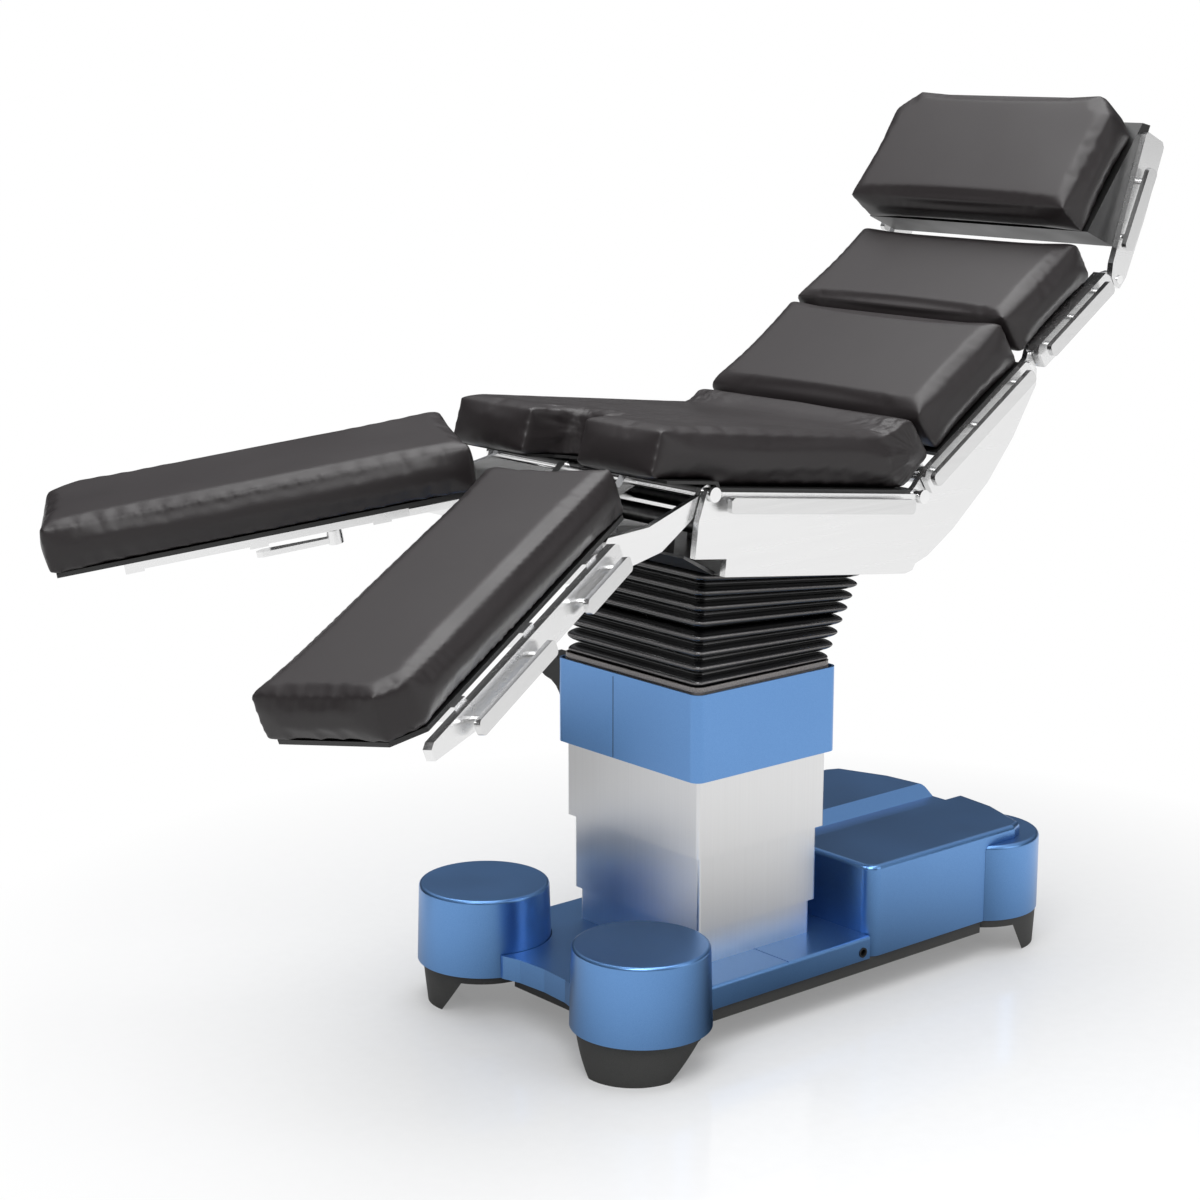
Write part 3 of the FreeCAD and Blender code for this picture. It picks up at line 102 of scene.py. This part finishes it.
def remap(tree, value, low, high, new_low, new_high):
    """Clamp a value's range to a new one."""
    node = add_node(tree, "ShaderNodeMapRange")
    limits = {"Value": value, "From Min": low, "From Max": high, "To Min": new_low, "To Max": new_high}
    for label, item in limits.items():
        feed(tree, node.inputs[label], item)
    return node.outputs["Result"]


def math_node(tree, operation, a, b):
    """Two-input math on sockets or numbers."""
    node = add_node(tree, "ShaderNodeMath", operation=operation)
    feed(tree, node.inputs[0], a)
    feed(tree, node.inputs[1], b)
    return node.outputs[0]


def vector_node(tree, operation, *items):
    """Vector math node on one or two sockets."""
    node = add_node(tree, "ShaderNodeVectorMath", operation=operation)
    for socket, item in zip(node.inputs, items):
        tree.links.new(item, socket)
    return node


def object_place(tree):
    """The point shaded, in the object's own space."""
    return add_node(tree, "ShaderNodeTexCoord").outputs["Object"]


def shade_mix(tree, factor, low, high):
    """Mix two colours, given as sockets, by a factor."""
    node = add_node(tree, "ShaderNodeMix", data_type="RGBA")
    tree.links.new(factor, node.inputs[0])
    tree.links.new(low, node.inputs[6])
    tree.links.new(high, node.inputs[7])
    return node.outputs[2]


NOISE_LOW = 0.3
NOISE_HIGH = 0.7


def make_grain_group():
    """Fine grain of a surface: colour, roughness and height."""
    tree, enter, leave = group(
        "SurfaceGrain",
        [("Color Low", "NodeSocketColor", (0, 0, 0, 1)), ("Color High", "NodeSocketColor", (1, 1, 1, 1)),
         ("Grain Scale", "NodeSocketFloat", 300.0), ("Smudge Scale", "NodeSocketFloat", 5.0),
         ("Roughness Low", "NodeSocketFloat", 0.3), ("Roughness High", "NodeSocketFloat", 0.5),
         ("Wave", "NodeSocketFloat", 0.0)],
        [("Color", "NodeSocketColor"), ("Roughness", "NodeSocketFloat"), ("Height", "NodeSocketFloat")])
    place = object_place(tree)
    grain = noise(tree, place, enter.outputs["Grain Scale"])
    smudge = noise(tree, place, enter.outputs["Smudge Scale"])
    share = remap(tree, grain, NOISE_LOW, NOISE_HIGH, 0, 1)
    color = shade_mix(tree, share, enter.outputs["Color Low"], enter.outputs["Color High"])
    rough = remap(tree, smudge, NOISE_LOW, NOISE_HIGH, enter.outputs["Roughness Low"],
                  enter.outputs["Roughness High"])
    wave = math_node(tree, "MULTIPLY", smudge, enter.outputs["Wave"])
    tree.links.new(color, leave.inputs["Color"])
    tree.links.new(rough, leave.inputs["Roughness"])
    tree.links.new(math_node(tree, "ADD", grain, wave), leave.inputs["Height"])
    return tree


def make_brushed_group():
    """Brushed metal: streaks along one axis, as roughness, height and tone."""
    tree, enter, leave = group(
        "BrushedStreaks",
        [("Streak X", "NodeSocketFloat", 1.0), ("Streak Y", "NodeSocketFloat", 1.0),
         ("Streak Z", "NodeSocketFloat", 1.0), ("Roughness Low", "NodeSocketFloat", 0.25),
         ("Roughness High", "NodeSocketFloat", 0.4), ("Tone Low", "NodeSocketFloat", 0.6),
         ("Tone High", "NodeSocketFloat", 0.7)],
        [("Color", "NodeSocketColor"), ("Roughness", "NodeSocketFloat"), ("Height", "NodeSocketFloat")])
    scale = add_node(tree, "ShaderNodeCombineXYZ")
    for axis in "XYZ":
        tree.links.new(enter.outputs["Streak " + axis], scale.inputs[axis])
    stretch = vector_node(tree, "MULTIPLY", object_place(tree), scale.outputs[0])
    streak = noise(tree, stretch.outputs[0], 1.0, 4.0, 0.6)
    rough = remap(tree, streak, NOISE_LOW, NOISE_HIGH, enter.outputs["Roughness Low"],
                  enter.outputs["Roughness High"])
    level = remap(tree, streak, NOISE_LOW, NOISE_HIGH, enter.outputs["Tone Low"], enter.outputs["Tone High"])
    tone = add_node(tree, "ShaderNodeCombineColor")
    for channel in ("Red", "Green", "Blue"):
        tree.links.new(level, tone.inputs[channel])
    tree.links.new(tone.outputs[0], leave.inputs["Color"])
    tree.links.new(rough, leave.inputs["Roughness"])
    tree.links.new(streak, leave.inputs["Height"])
    return tree


def make_crease_group():
    """Height of soft folds that run out from a point of a cover."""
    tree, enter, leave = group(
        "SoftCreases",
        [("Middle", "NodeSocketVector", (0, 0, 0)), ("Reach", "NodeSocketFloat", 0.15),
         ("Fold Scale", "NodeSocketFloat", 4.5)],
        [("Height", "NodeSocketFloat")])
    offset = vector_node(tree, "SUBTRACT", object_place(tree), enter.outputs["Middle"]).outputs[0]
    distance = vector_node(tree, "LENGTH", offset).outputs["Value"]
    spoke = vector_node(tree, "NORMALIZE", offset).outputs[0]
    folds = noise(tree, spoke, enter.outputs["Fold Scale"], detail=1.0)
    share = math_node(tree, "DIVIDE", distance, enter.outputs["Reach"])
    rise = remap(tree, share, 0.15, 0.5, 0.0, 1.0)
    fall = remap(tree, share, 0.5, 1.0, 1.0, 0.0)
    fade = math_node(tree, "MULTIPLY", rise, fall)
    tree.links.new(math_node(tree, "MULTIPLY", folds, fade), leave.inputs["Height"])
    return tree


GRAIN = make_grain_group()
CREASES = make_crease_group()
BRUSHED = make_brushed_group()


BUMP_FINE = 0.0002
BUMP_VINYL = 0.0003
BUMP_FOLDS = 0.006
COAT_ROUGH = 0.12


def new_material(name):
    """Material with a Principled shader; returns material, tree and shader."""
    material = bpy.data.materials.new(name)
    material.use_nodes = True
    tree = material.node_tree
    shader = tree.nodes["Principled BSDF"]
    return material, tree, shader


def use_group(tree, source, **values):
    """Group node with its input values set by name."""
    node = tree.nodes.new("ShaderNodeGroup")
    node.node_tree = source
    for key, value in values.items():
        node.inputs[key.replace("_", " ")].default_value = value
    return node


def connect(tree, effect, shader, bump, distance):
    """Feed an effect's outputs to a shader."""
    tree.links.new(effect.outputs["Color"], shader.inputs["Base Color"])
    tree.links.new(effect.outputs["Roughness"], shader.inputs["Roughness"])
    if bump:
        node = add_node(tree, "ShaderNodeBump")
        node.inputs["Strength"].default_value = bump
        node.inputs["Distance"].default_value = distance
        tree.links.new(effect.outputs["Height"], node.inputs["Height"])
        tree.links.new(node.outputs["Normal"], shader.inputs["Normal"])


def grained(name, low, high, rough, scales, metallic=0.0, coat=0.0, bump=0.0, distance=BUMP_FINE,
            specular=0.5, wave=0.0):
    """Material made with the grain group."""
    material, tree, shader = new_material(name)
    effect = use_group(tree, GRAIN, Color_Low=(*low, 1), Color_High=(*high, 1), Grain_Scale=scales[0],
                       Smudge_Scale=scales[1], Roughness_Low=rough[0], Roughness_High=rough[1], Wave=wave)
    connect(tree, effect, shader, bump, distance)
    shader.inputs["Metallic"].default_value = metallic
    shader.inputs["Coat Weight"].default_value = coat
    shader.inputs["Coat Roughness"].default_value = COAT_ROUGH
    shader.inputs["Specular IOR Level"].default_value = specular
    return material


def creased(name, middles):
    """Vinyl with folds that run out from some points."""
    material = VINYL.copy()
    material.name = name
    tree = material.node_tree
    shader = tree.nodes["Principled BSDF"]
    normal = shader.inputs["Normal"].links[0].from_socket
    for middle, reach in middles:
        folds = use_group(tree, CREASES, Middle=middle, Reach=reach)
        bump = add_node(tree, "ShaderNodeBump")
        bump.inputs["Distance"].default_value = BUMP_FOLDS
        tree.links.new(folds.outputs["Height"], bump.inputs["Height"])
        tree.links.new(normal, bump.inputs["Normal"])
        normal = bump.outputs["Normal"]
    tree.links.new(normal, shader.inputs["Normal"])
    return material


def brushed(name, streak, rough, tone, bump):
    """Brushed steel with its streaks along the axis of the smallest scale."""
    material, tree, shader = new_material(name)
    effect = use_group(tree, BRUSHED, Streak_X=streak[0], Streak_Y=streak[1], Streak_Z=streak[2],
                       Roughness_Low=rough[0], Roughness_High=rough[1], Tone_Low=tone[0], Tone_High=tone[1])
    connect(tree, effect, shader, bump, BUMP_FINE)
    shader.inputs["Metallic"].default_value = 1.0
    return material


PAINT = grained("blue_metallic_paint", (0.14, 0.31, 0.64), (0.17, 0.36, 0.70), (0.30, 0.35), (900, 6),
                metallic=0.96, coat=0.15)
PLASTIC = grained("dark_grey_plastic", (0.045, 0.045, 0.043), (0.06, 0.06, 0.057), (0.5, 0.62), (700, 8),
                  bump=0.15)
BLACK = grained("black_plastic", (0.008, 0.008, 0.008), (0.013, 0.013, 0.013), (0.35, 0.48), (700, 8),
                bump=0.1)
RUBBER = grained("black_rubber", (0.003, 0.003, 0.0035), (0.005, 0.005, 0.006), (0.16, 0.24), (300, 12),
                 coat=0.5, specular=0.5)
# Lighter grey for the band at each fold crest of the bellows: a painted highlight.
PAINTED_CREST_HIGHLIGHT = grained("painted_crest_highlight", (0.12, 0.11, 0.11), (0.2, 0.19, 0.19), (0.2, 0.3), (300, 12), coat=0.5)
SEAM = grained("dark_seam", (0.006, 0.008, 0.014), (0.01, 0.012, 0.02), (0.5, 0.6), (700, 8))
VINYL = grained("dark_vinyl", (0.013, 0.0105, 0.011), (0.019, 0.0155, 0.016), (0.40, 0.50), (1100, 5),
                bump=0.2, distance=BUMP_VINYL, specular=0.4, wave=10.0)
CUT_OUT_FOLDS = [((-0.16, side * 0.075, 1.0), 0.2) for side in (-1, 1)]
BACK_JOINT_FOLDS = [((0.27, side * 0.25, 0.96), 0.16) for side in (-1, 1)]
CREASED = creased("creased_vinyl", CUT_OUT_FOLDS + BACK_JOINT_FOLDS)
TRIM = grained("trim_ring", (0.16, 0.14, 0.13), (0.26, 0.24, 0.23), (0.15, 0.25), (400, 20), coat=0.4)
COLUMN_STEEL = brushed("brushed_column", (260, 260, 2.0), (0.36, 0.39), (0.82, 0.85), bump=0.006)
FRAME_STEEL = brushed("brushed_frame", (4.0, 160, 160), (0.24, 0.28), (0.84, 0.87), bump=0.004)
RAIL_STEEL = brushed("rail_steel", (4.0, 160, 160), (0.2, 0.26), (0.70, 0.76), bump=0.004)
POLISHED = brushed("polished_steel", (40, 40, 40), (0.1, 0.14), (0.84, 0.88), bump=0.01)
# Near-black steel for the tubes and tray under the seat: painted shade under the seat.
UNDER_SEAT_SHADE_STEEL = brushed("steel_painted_shade_under_seat", (60, 60, 60), (0.3, 0.4), (0.10, 0.16), bump=0.02)

LOOKS = {
    "blue_paint": PAINT,
    "dark_plastic": PLASTIC,
    "steel": FRAME_STEEL,
    "polished": POLISHED,
    "bellows_rubber": RUBBER,
    "upholstery": VINYL,
}
SPECIAL = [
    (COLUMN_STEEL, ("column_lower", "column_middle", "column_upper")),
    (TRIM, ("collar_trim",)),
    # The cross tubes and tray under the seat take the near-black steel: painted shade under the seat.
    (UNDER_SEAT_SHADE_STEEL, ("seat_cross_tubes", "seat_tray")),
    (RAIL_STEEL, ("seat_rails", "lower_back_rails", "upper_back_rails", "head_rails", "leg_rails_near",
                  "leg_rails_far")),
    (BLACK, ("column_head", "bellows_flange", "service_socket", "holder_bracket", "seat_board",
             "lower_back_board", "upper_back_board", "head_board", "leg_board_near", "leg_board_far")),
]


def dress_nodes():
    """Give every CAD node its material."""
    special = {node: look for look, nodes in SPECIAL for node in nodes}
    for entry in frame["record"]["subparts"]:
        node = entry["node"]
        piece = bpy.data.objects[node]
        piece.data.materials.clear()
        piece.data.materials.append(special.get(node, LOOKS[entry["material_slot"]]))


PAD_VOXEL = 0.006
PAD_FRAMES = 14
PAD_CAP = 0.005
PAD_PRESSURE = 3.0
CLOTH_STRETCH = 15
CLOTH_BENDING = 5
CLOTH_QUALITY = 4
STEP_ROUNDS = 4
FINAL_ROUNDS = 3
THIN_SIDE = 0.05
PADS = [
    ("seat_pad", "seat_cushion", "seat", CREASED),
    ("lower_back_pad", "lower_back_cushion", "lower_back", VINYL),
    ("upper_back_pad", "upper_back_cushion", "upper_back", VINYL),
    ("head_pad", "head_cushion", "head", VINYL),
    ("leg_pad_near", "leg_cushion_near", "leg_near", VINYL),
    ("leg_pad_far", "leg_cushion_far", "leg_far", VINYL),
]


def copy_mesh(node, name):
    """New object with a copy of a CAD node's mesh."""
    source = bpy.data.objects[node]
    piece = bpy.data.objects.new(name, source.data.copy())
    bpy.context.scene.collection.objects.link(piece)
    piece.data.materials.clear()
    return piece


def apply_modifiers(piece):
    """Turn a piece's modifiers into its mesh."""
    depsgraph = bpy.context.evaluated_depsgraph_get()
    depsgraph.update()
    mesh = bpy.data.meshes.new_from_object(piece.evaluated_get(depsgraph))
    piece.modifiers.clear()
    old = piece.data
    piece.data = mesh
    bpy.data.meshes.remove(old)


def shrink(piece, gap):
    """Move every face of a closed mesh inward by about a gap."""
    box = [Vector(corner) for corner in piece.bound_box]
    middle = sum(box, Vector()) / 8
    size = box[6] - box[0]
    for vertex in piece.data.vertices:
        offset = vertex.co - middle
        for axis in range(3):
            offset[axis] *= 1 - 2 * gap / max(size[axis], THIN_SIDE)
        vertex.co = middle + offset


def even_out(piece, rounds):
    """Smoothing that takes the voxel steps out of a mesh."""
    smooth = piece.modifiers.new("smooth", "SMOOTH")
    smooth.iterations = rounds
    smooth.factor = 0.5


def padded_piece(node, name, body, look):
    """Pad made from a CAD solid: remeshed, blown up a little, smoothed."""
    piece = copy_mesh(node, name)
    shrink(piece, PAD_CAP * 0.5)
    remesh = piece.modifiers.new("remesh", "REMESH")
    remesh.mode = "VOXEL"
    remesh.voxel_size = PAD_VOXEL
    even_out(piece, STEP_ROUNDS)
    apply_modifiers(piece)
    inflate(piece)
    even_out(piece, FINAL_ROUNDS)
    subdivide = piece.modifiers.new("subdivide", "SUBSURF")
    subdivide.levels = 1
    apply_modifiers(piece)
    piece.data.materials.clear()
    piece.data.materials.append(look)
    shade_smooth(piece)
    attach(piece, body)
    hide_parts(node)


def inflate(piece):
    """Blow a pad up with a short cloth simulation, at most to the cap."""
    rest = [vertex.co.copy() for vertex in piece.data.vertices]
    scene = bpy.context.scene
    cloth = piece.modifiers.new("cloth", "CLOTH")
    settings = cloth.settings
    settings.use_pressure = True
    settings.uniform_pressure_force = PAD_PRESSURE
    settings.effector_weights.gravity = 0
    settings.quality = CLOTH_QUALITY
    settings.tension_stiffness = CLOTH_STRETCH
    settings.compression_stiffness = CLOTH_STRETCH
    settings.bending_stiffness = CLOTH_BENDING
    cloth.point_cache.frame_start = 1
    cloth.point_cache.frame_end = PAD_FRAMES
    for number in range(1, PAD_FRAMES + 1):
        scene.frame_set(number)
    apply_modifiers(piece)
    scene.frame_set(1)
    for vertex, start in zip(piece.data.vertices, rest):
        move = vertex.co - start
        if move.length > PAD_CAP:
            vertex.co = start + move.normalized() * PAD_CAP


def shade_smooth(piece):
    """Smooth shading on every face."""
    for polygon in piece.data.polygons:
        polygon.use_smooth = True


def make_pads():
    """The soft pads of the table top."""
    for pad in PADS:
        padded_piece(*pad)


def skin(mesh, loops):
    """Close a mesh round a ring of loops; returns the faces of each step."""
    rows = []
    for one, two in zip(loops, loops[1:] + loops[:1]):
        row = []
        for index in range(len(one)):
            after = (index + 1) % len(one)
            row.append(mesh.faces.new((one[index], one[after], two[after], two[index])))
        rows.append(row)
    bmesh.ops.recalc_face_normals(mesh, faces=mesh.faces)
    return rows


def mesh_object(name, mesh, *looks):
    """Object from an edit mesh, with its materials."""
    data = bpy.data.meshes.new(name)
    mesh.to_mesh(data)
    mesh.free()
    piece = bpy.data.objects.new(name, data)
    bpy.context.scene.collection.objects.link(piece)
    for look in looks:
        piece.data.materials.append(look)
    return piece


def ring_points(half_x, half_y, corner):
    """Points round a rounded rectangle."""
    points = []
    for index, (a, b) in enumerate([(1, 1), (-1, 1), (-1, -1), (1, -1)]):
        for step in range(CORNER_STEPS + 1):
            angle = math.pi / 2 * (index + step / CORNER_STEPS)
            points.append((a * (half_x - corner) + corner * math.cos(angle),
                           b * (half_y - corner) + corner * math.sin(angle)))
    return points


def add_strip(name, corners, body, look):
    """Thin box between two corners, on a body."""
    low, high = (Vector(corner) for corner in corners)
    mesh = bmesh.new()
    bmesh.ops.create_cube(mesh, size=1)
    for vertex in mesh.verts:
        for axis in range(3):
            vertex.co[axis] = low[axis] + (vertex.co[axis] + 0.5) * (high[axis] - low[axis])
    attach(mesh_object(name, mesh, look), body)


CORNER_STEPS = 8
RING_HALF_X = 0.1575
RING_HALF_Y = 0.1755
RING_CORNER = 0.018
RING_WALL = 0.003
RING_TALL = 0.008
SEAM_START = 0.029
SEAM_WIDE = 0.0012
SEAM_PROUD = 0.0003
SEAM_FOOT = 0.001
SEAM_HEAD = 0.006
BELLOWS_LOW = 0.5973


def make_ring():
    """Pale ring that clamps the foot of the bellows to the collar."""
    mesh = bmesh.new()
    loops = []
    for inset, height in ((0, 0), (0, RING_TALL), (RING_WALL, RING_TALL), (RING_WALL, 0)):
        points = ring_points(RING_HALF_X - inset, RING_HALF_Y - inset, RING_CORNER - inset)
        loops.append([mesh.verts.new((x, y, BELLOWS_LOW + height)) for x, y in points])
    skin(mesh, loops)
    piece = mesh_object("bellows_ring", mesh, TRIM)
    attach(piece, "column")


def make_collar_seam():
    """Joint line down the foot-end face of the collar."""
    low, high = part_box("collar")
    add_strip("collar_seam",
              ((low.x - SEAM_PROUD, SEAM_START, low.z + SEAM_FOOT),
               (low.x + SEAM_PROUD, SEAM_START + SEAM_WIDE, high.z - SEAM_HEAD)),
              "column", SEAM)


BELLOWS_FOLDS = 8
BELLOWS_STEPS = 10
BELLOWS_SHIFT = 0.038
BELLOWS_HALF_X = 0.153
BELLOWS_HALF_Y = 0.170
BELLOWS_GROW_X = 0.043
BELLOWS_GROW_Y = 0.012
BELLOWS_CORNER = 0.014
FOLD_DEEP = 0.017
FOLD_SHARPNESS = 0.8
BELLOWS_WALL = 0.0025
TRAY_LOW = 0.1363


def bellows_station(part, depth):
    """Ring of the bellows: half sizes, middle, height and slope."""
    shift = BELLOWS_SHIFT * part
    along = (shift - LEG_HINGE.x + TRAY_LOW * math.sin(SEAT_PITCH)) / math.cos(SEAT_PITCH)
    head = LEG_HINGE.z - along * math.sin(SEAT_PITCH) - TRAY_LOW * math.cos(SEAT_PITCH)
    height = BELLOWS_LOW + part * (head - BELLOWS_LOW)
    half_x = BELLOWS_HALF_X + BELLOWS_GROW_X * part - depth
    half_y = BELLOWS_HALF_Y + BELLOWS_GROW_Y * part - depth
    return half_x, half_y, shift, height, part * SEAT_PITCH


def bellows_loop(mesh, part, inner):
    """Vertices round the bellows at a share of its height, outside or inside."""
    phase = part * BELLOWS_FOLDS % 1.0
    crest = math.sin(math.pi * phase) ** FOLD_SHARPNESS
    depth = FOLD_DEEP * (1 - crest) + (BELLOWS_WALL if inner else 0)
    half_x, half_y, shift, height, slope = bellows_station(part, depth)
    place = Matrix.Translation((shift, 0, height)) @ Matrix.Rotation(slope, 4, "Y")
    return [mesh.verts.new(place @ Vector((x, y, 0))) for x, y in ring_points(half_x, half_y, BELLOWS_CORNER)]


def bellows_half(name, low, high):
    """One half of the bellows, as a closed skin, between two shares of its height."""
    steps = BELLOWS_FOLDS * BELLOWS_STEPS
    numbers = range(round(low * steps), round(high * steps) + 1)
    mesh = bmesh.new()
    loops = [bellows_loop(mesh, number / steps, False) for number in numbers]
    loops += [bellows_loop(mesh, number / steps, True) for number in reversed(numbers)]
    rows = skin(mesh, loops)
    # The middle row of each fold, its crest, gets the lighter grey: a painted highlight.
    for number, row in zip(numbers, rows):
        if number % BELLOWS_STEPS == BELLOWS_STEPS // 2:
            for face in row:
                face.material_index = 1
    piece = mesh_object(name, mesh, RUBBER, PAINTED_CREST_HIGHLIGHT)
    shade_smooth(piece)
    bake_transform(piece)
    return piece


def make_bellows():
    """Two halves of the bellows that meet halfway up; the CAD bellows is hidden."""
    lower = bellows_half("bellows_lower", 0.0, 0.5)
    upper = bellows_half("bellows_upper", 0.5, 1.0)
    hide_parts("bellows")
    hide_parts("bellows")


CAMERA_PLACE = Vector((-2.9085, -3.1636, 1.6568))
CAMERA_AHEAD = Vector((0.648, 0.762, 0)).normalized()
CAMERA_PITCH = math.radians(12.57)
CAMERA_LENS = 76.65
CAMERA_SHIFT = 0.0018
SENSOR_WIDE = 36
SKY_FROM = 0.3
SKY_TO = 0.9
SKY_LOW = 0.05
SKY_HIGH = 0.85
FLOOR_REACH = 60
FLOOR_MIDDLE = (0.1, 0, 0)
FLOOR_NEAR = 0.5
FLOOR_FAR = 1.5
FLOOR_GLOW = 0.25
# Reach of the painted shade near the base that the floor shows in reflections.
REFLECTION_SHADE_NEAR = 0.3
REFLECTION_SHADE_FAR = 1.1
# Place of the dark card that paints a dark reflection into the metal.
CARD_START = (-0.9, 0.8)
CARD_END = (-0.35, 1.35)
CARD_TALL = 0.24
LIGHTS = [
    ("key", (-2.2, -1.8, 3.6), (0, 0, 0.8), 2.4, 110),
    ("fill", (1.6, -3.4, 1.8), (0, 0, 0.8), 2.0, 20),
    ("top", (0.2, 0.4, 4.2), (0, 0, 0), 3.2, 150),
]


def make_camera():
    """Camera at the photograph's place."""
    data = bpy.data.cameras.new("camera")
    data.lens = CAMERA_LENS
    data.sensor_width = SENSOR_WIDE
    data.shift_y = CAMERA_SHIFT
    data.clip_end = 200
    camera = bpy.data.objects.new("camera", data)
    look = CAMERA_AHEAD * math.cos(CAMERA_PITCH) - Vector((0, 0, math.sin(CAMERA_PITCH)))
    camera.location = CAMERA_PLACE
    camera.rotation_mode = "QUATERNION"
    camera.rotation_quaternion = look.to_track_quat("-Z", "Y")
    bpy.context.scene.collection.objects.link(camera)
    bpy.context.scene.camera = camera


def area_light(name, place, aim, size, power):
    """Soft square light aimed at a point."""
    data = bpy.data.lights.new(name, "AREA")
    data.size = size
    data.energy = power
    light = bpy.data.objects.new(name, data)
    light.location = place
    light.rotation_mode = "QUATERNION"
    light.rotation_quaternion = (Vector(aim) - Vector(place)).to_track_quat("-Z", "Y")
    bpy.context.scene.collection.objects.link(light)


def make_world():
    """White for the camera; for the light, a sky that darkens to the horizon."""
    world = bpy.data.worlds.new("studio")
    world.use_nodes = True
    bpy.context.scene.world = world
    tree = world.node_tree
    tree.nodes.clear()
    out = tree.nodes.new("ShaderNodeOutputWorld")
    mix = tree.nodes.new("ShaderNodeMixShader")
    path = tree.nodes.new("ShaderNodeLightPath")
    seen = tree.nodes.new("ShaderNodeBackground")
    seen.inputs["Color"].default_value = (1, 1, 1, 1)
    lit = tree.nodes.new("ShaderNodeBackground")
    lit.inputs["Color"].default_value = (0.96, 0.97, 1.0, 1)
    split = tree.nodes.new("ShaderNodeSeparateXYZ")
    tree.links.new(add_node(tree, "ShaderNodeTexCoord").outputs["Generated"], split.inputs[0])
    level = remap(tree, split.outputs["Z"], SKY_FROM, SKY_TO, SKY_LOW, SKY_HIGH)
    tree.links.new(level, lit.inputs["Strength"])
    tree.links.new(path.outputs["Is Camera Ray"], mix.inputs[0])
    tree.links.new(lit.outputs[0], mix.inputs[1])
    tree.links.new(seen.outputs[0], mix.inputs[2])
    tree.links.new(mix.outputs[0], out.inputs["Surface"])


def stage_plane(name, corners, look):
    """Flat piece of the stage."""
    mesh = bpy.data.meshes.new(name)
    mesh.from_pydata(corners, [], [(0, 1, 2, 3)])
    mesh.materials.append(look)
    plane = bpy.data.objects.new(name, mesh)
    bpy.context.scene.collection.objects.link(plane)
    return plane


def make_floor():
    """White glossy floor: lit near the base, plain white further out; in reflections it is darkened near the
    base, a painted shade.
    """
    look = grained("white_floor", (0.70, 0.705, 0.71), (0.72, 0.725, 0.73), (0.08, 0.1), (40, 2))
    tree = look.node_tree
    shader = tree.nodes["Principled BSDF"]
    offset = vector_node(tree, "SUBTRACT", object_place(tree))
    offset.inputs[1].default_value = FLOOR_MIDDLE
    distance = vector_node(tree, "LENGTH", offset.outputs[0]).outputs["Value"]
    fade = remap(tree, distance, FLOOR_NEAR, FLOOR_FAR, FLOOR_GLOW, 1)
    path = add_node(tree, "ShaderNodeLightPath")
    camera = math_node(tree, "MULTIPLY", fade, path.outputs["Is Camera Ray"])
    glossy = path.outputs["Is Glossy Ray"]
    # In reflections the floor's glow is taken away near the base: painted shade under the table, seen in the
    # metal.
    painted_reflection_shade = remap(tree, distance, REFLECTION_SHADE_NEAR, REFLECTION_SHADE_FAR, 1, 0)
    glow = add_node(tree, "ShaderNodeEmission")
    tree.links.new(math_node(tree, "SUBTRACT", 1.0, math_node(tree, "MULTIPLY", painted_reflection_shade, glossy)),
                   glow.inputs["Strength"])
    mix = add_node(tree, "ShaderNodeMixShader")
    tree.links.new(math_node(tree, "MAXIMUM", camera, glossy), mix.inputs[0])
    tree.links.new(shader.outputs[0], mix.inputs[1])
    tree.links.new(glow.outputs[0], mix.inputs[2])
    tree.links.new(mix.outputs[0], tree.nodes["Material Output"].inputs["Surface"])
    corners = [(-1, -1), (1, -1), (1, 1), (-1, 1)]
    stage_plane("floor", [(x * FLOOR_REACH, y * FLOOR_REACH, 0) for x, y in corners], look)


def make_card():
    """Low dark card behind the foot end, seen only in the metal: a painted dark reflection."""
    (start_x, start_y), (end_x, end_y) = CARD_START, CARD_END
    card = stage_plane("dark_card",
                       [(start_x, start_y, 0), (end_x, end_y, 0), (end_x, end_y, CARD_TALL),
                        (start_x, start_y, CARD_TALL)],
                       BLACK)
    card.visible_camera = False
    card.visible_diffuse = False
    card.visible_shadow = False


def make_stage():
    """Camera, lights, world and floor."""
    scene = bpy.context.scene
    scene.view_settings.view_transform = "Standard"
    scene.view_settings.look = "None"
    make_camera()
    make_world()
    make_floor()
    make_card()
    for light in LIGHTS:
        area_light(*light)


dress_nodes()
make_pads()
make_ring()
make_collar_seam()
make_bellows()
make_stage()
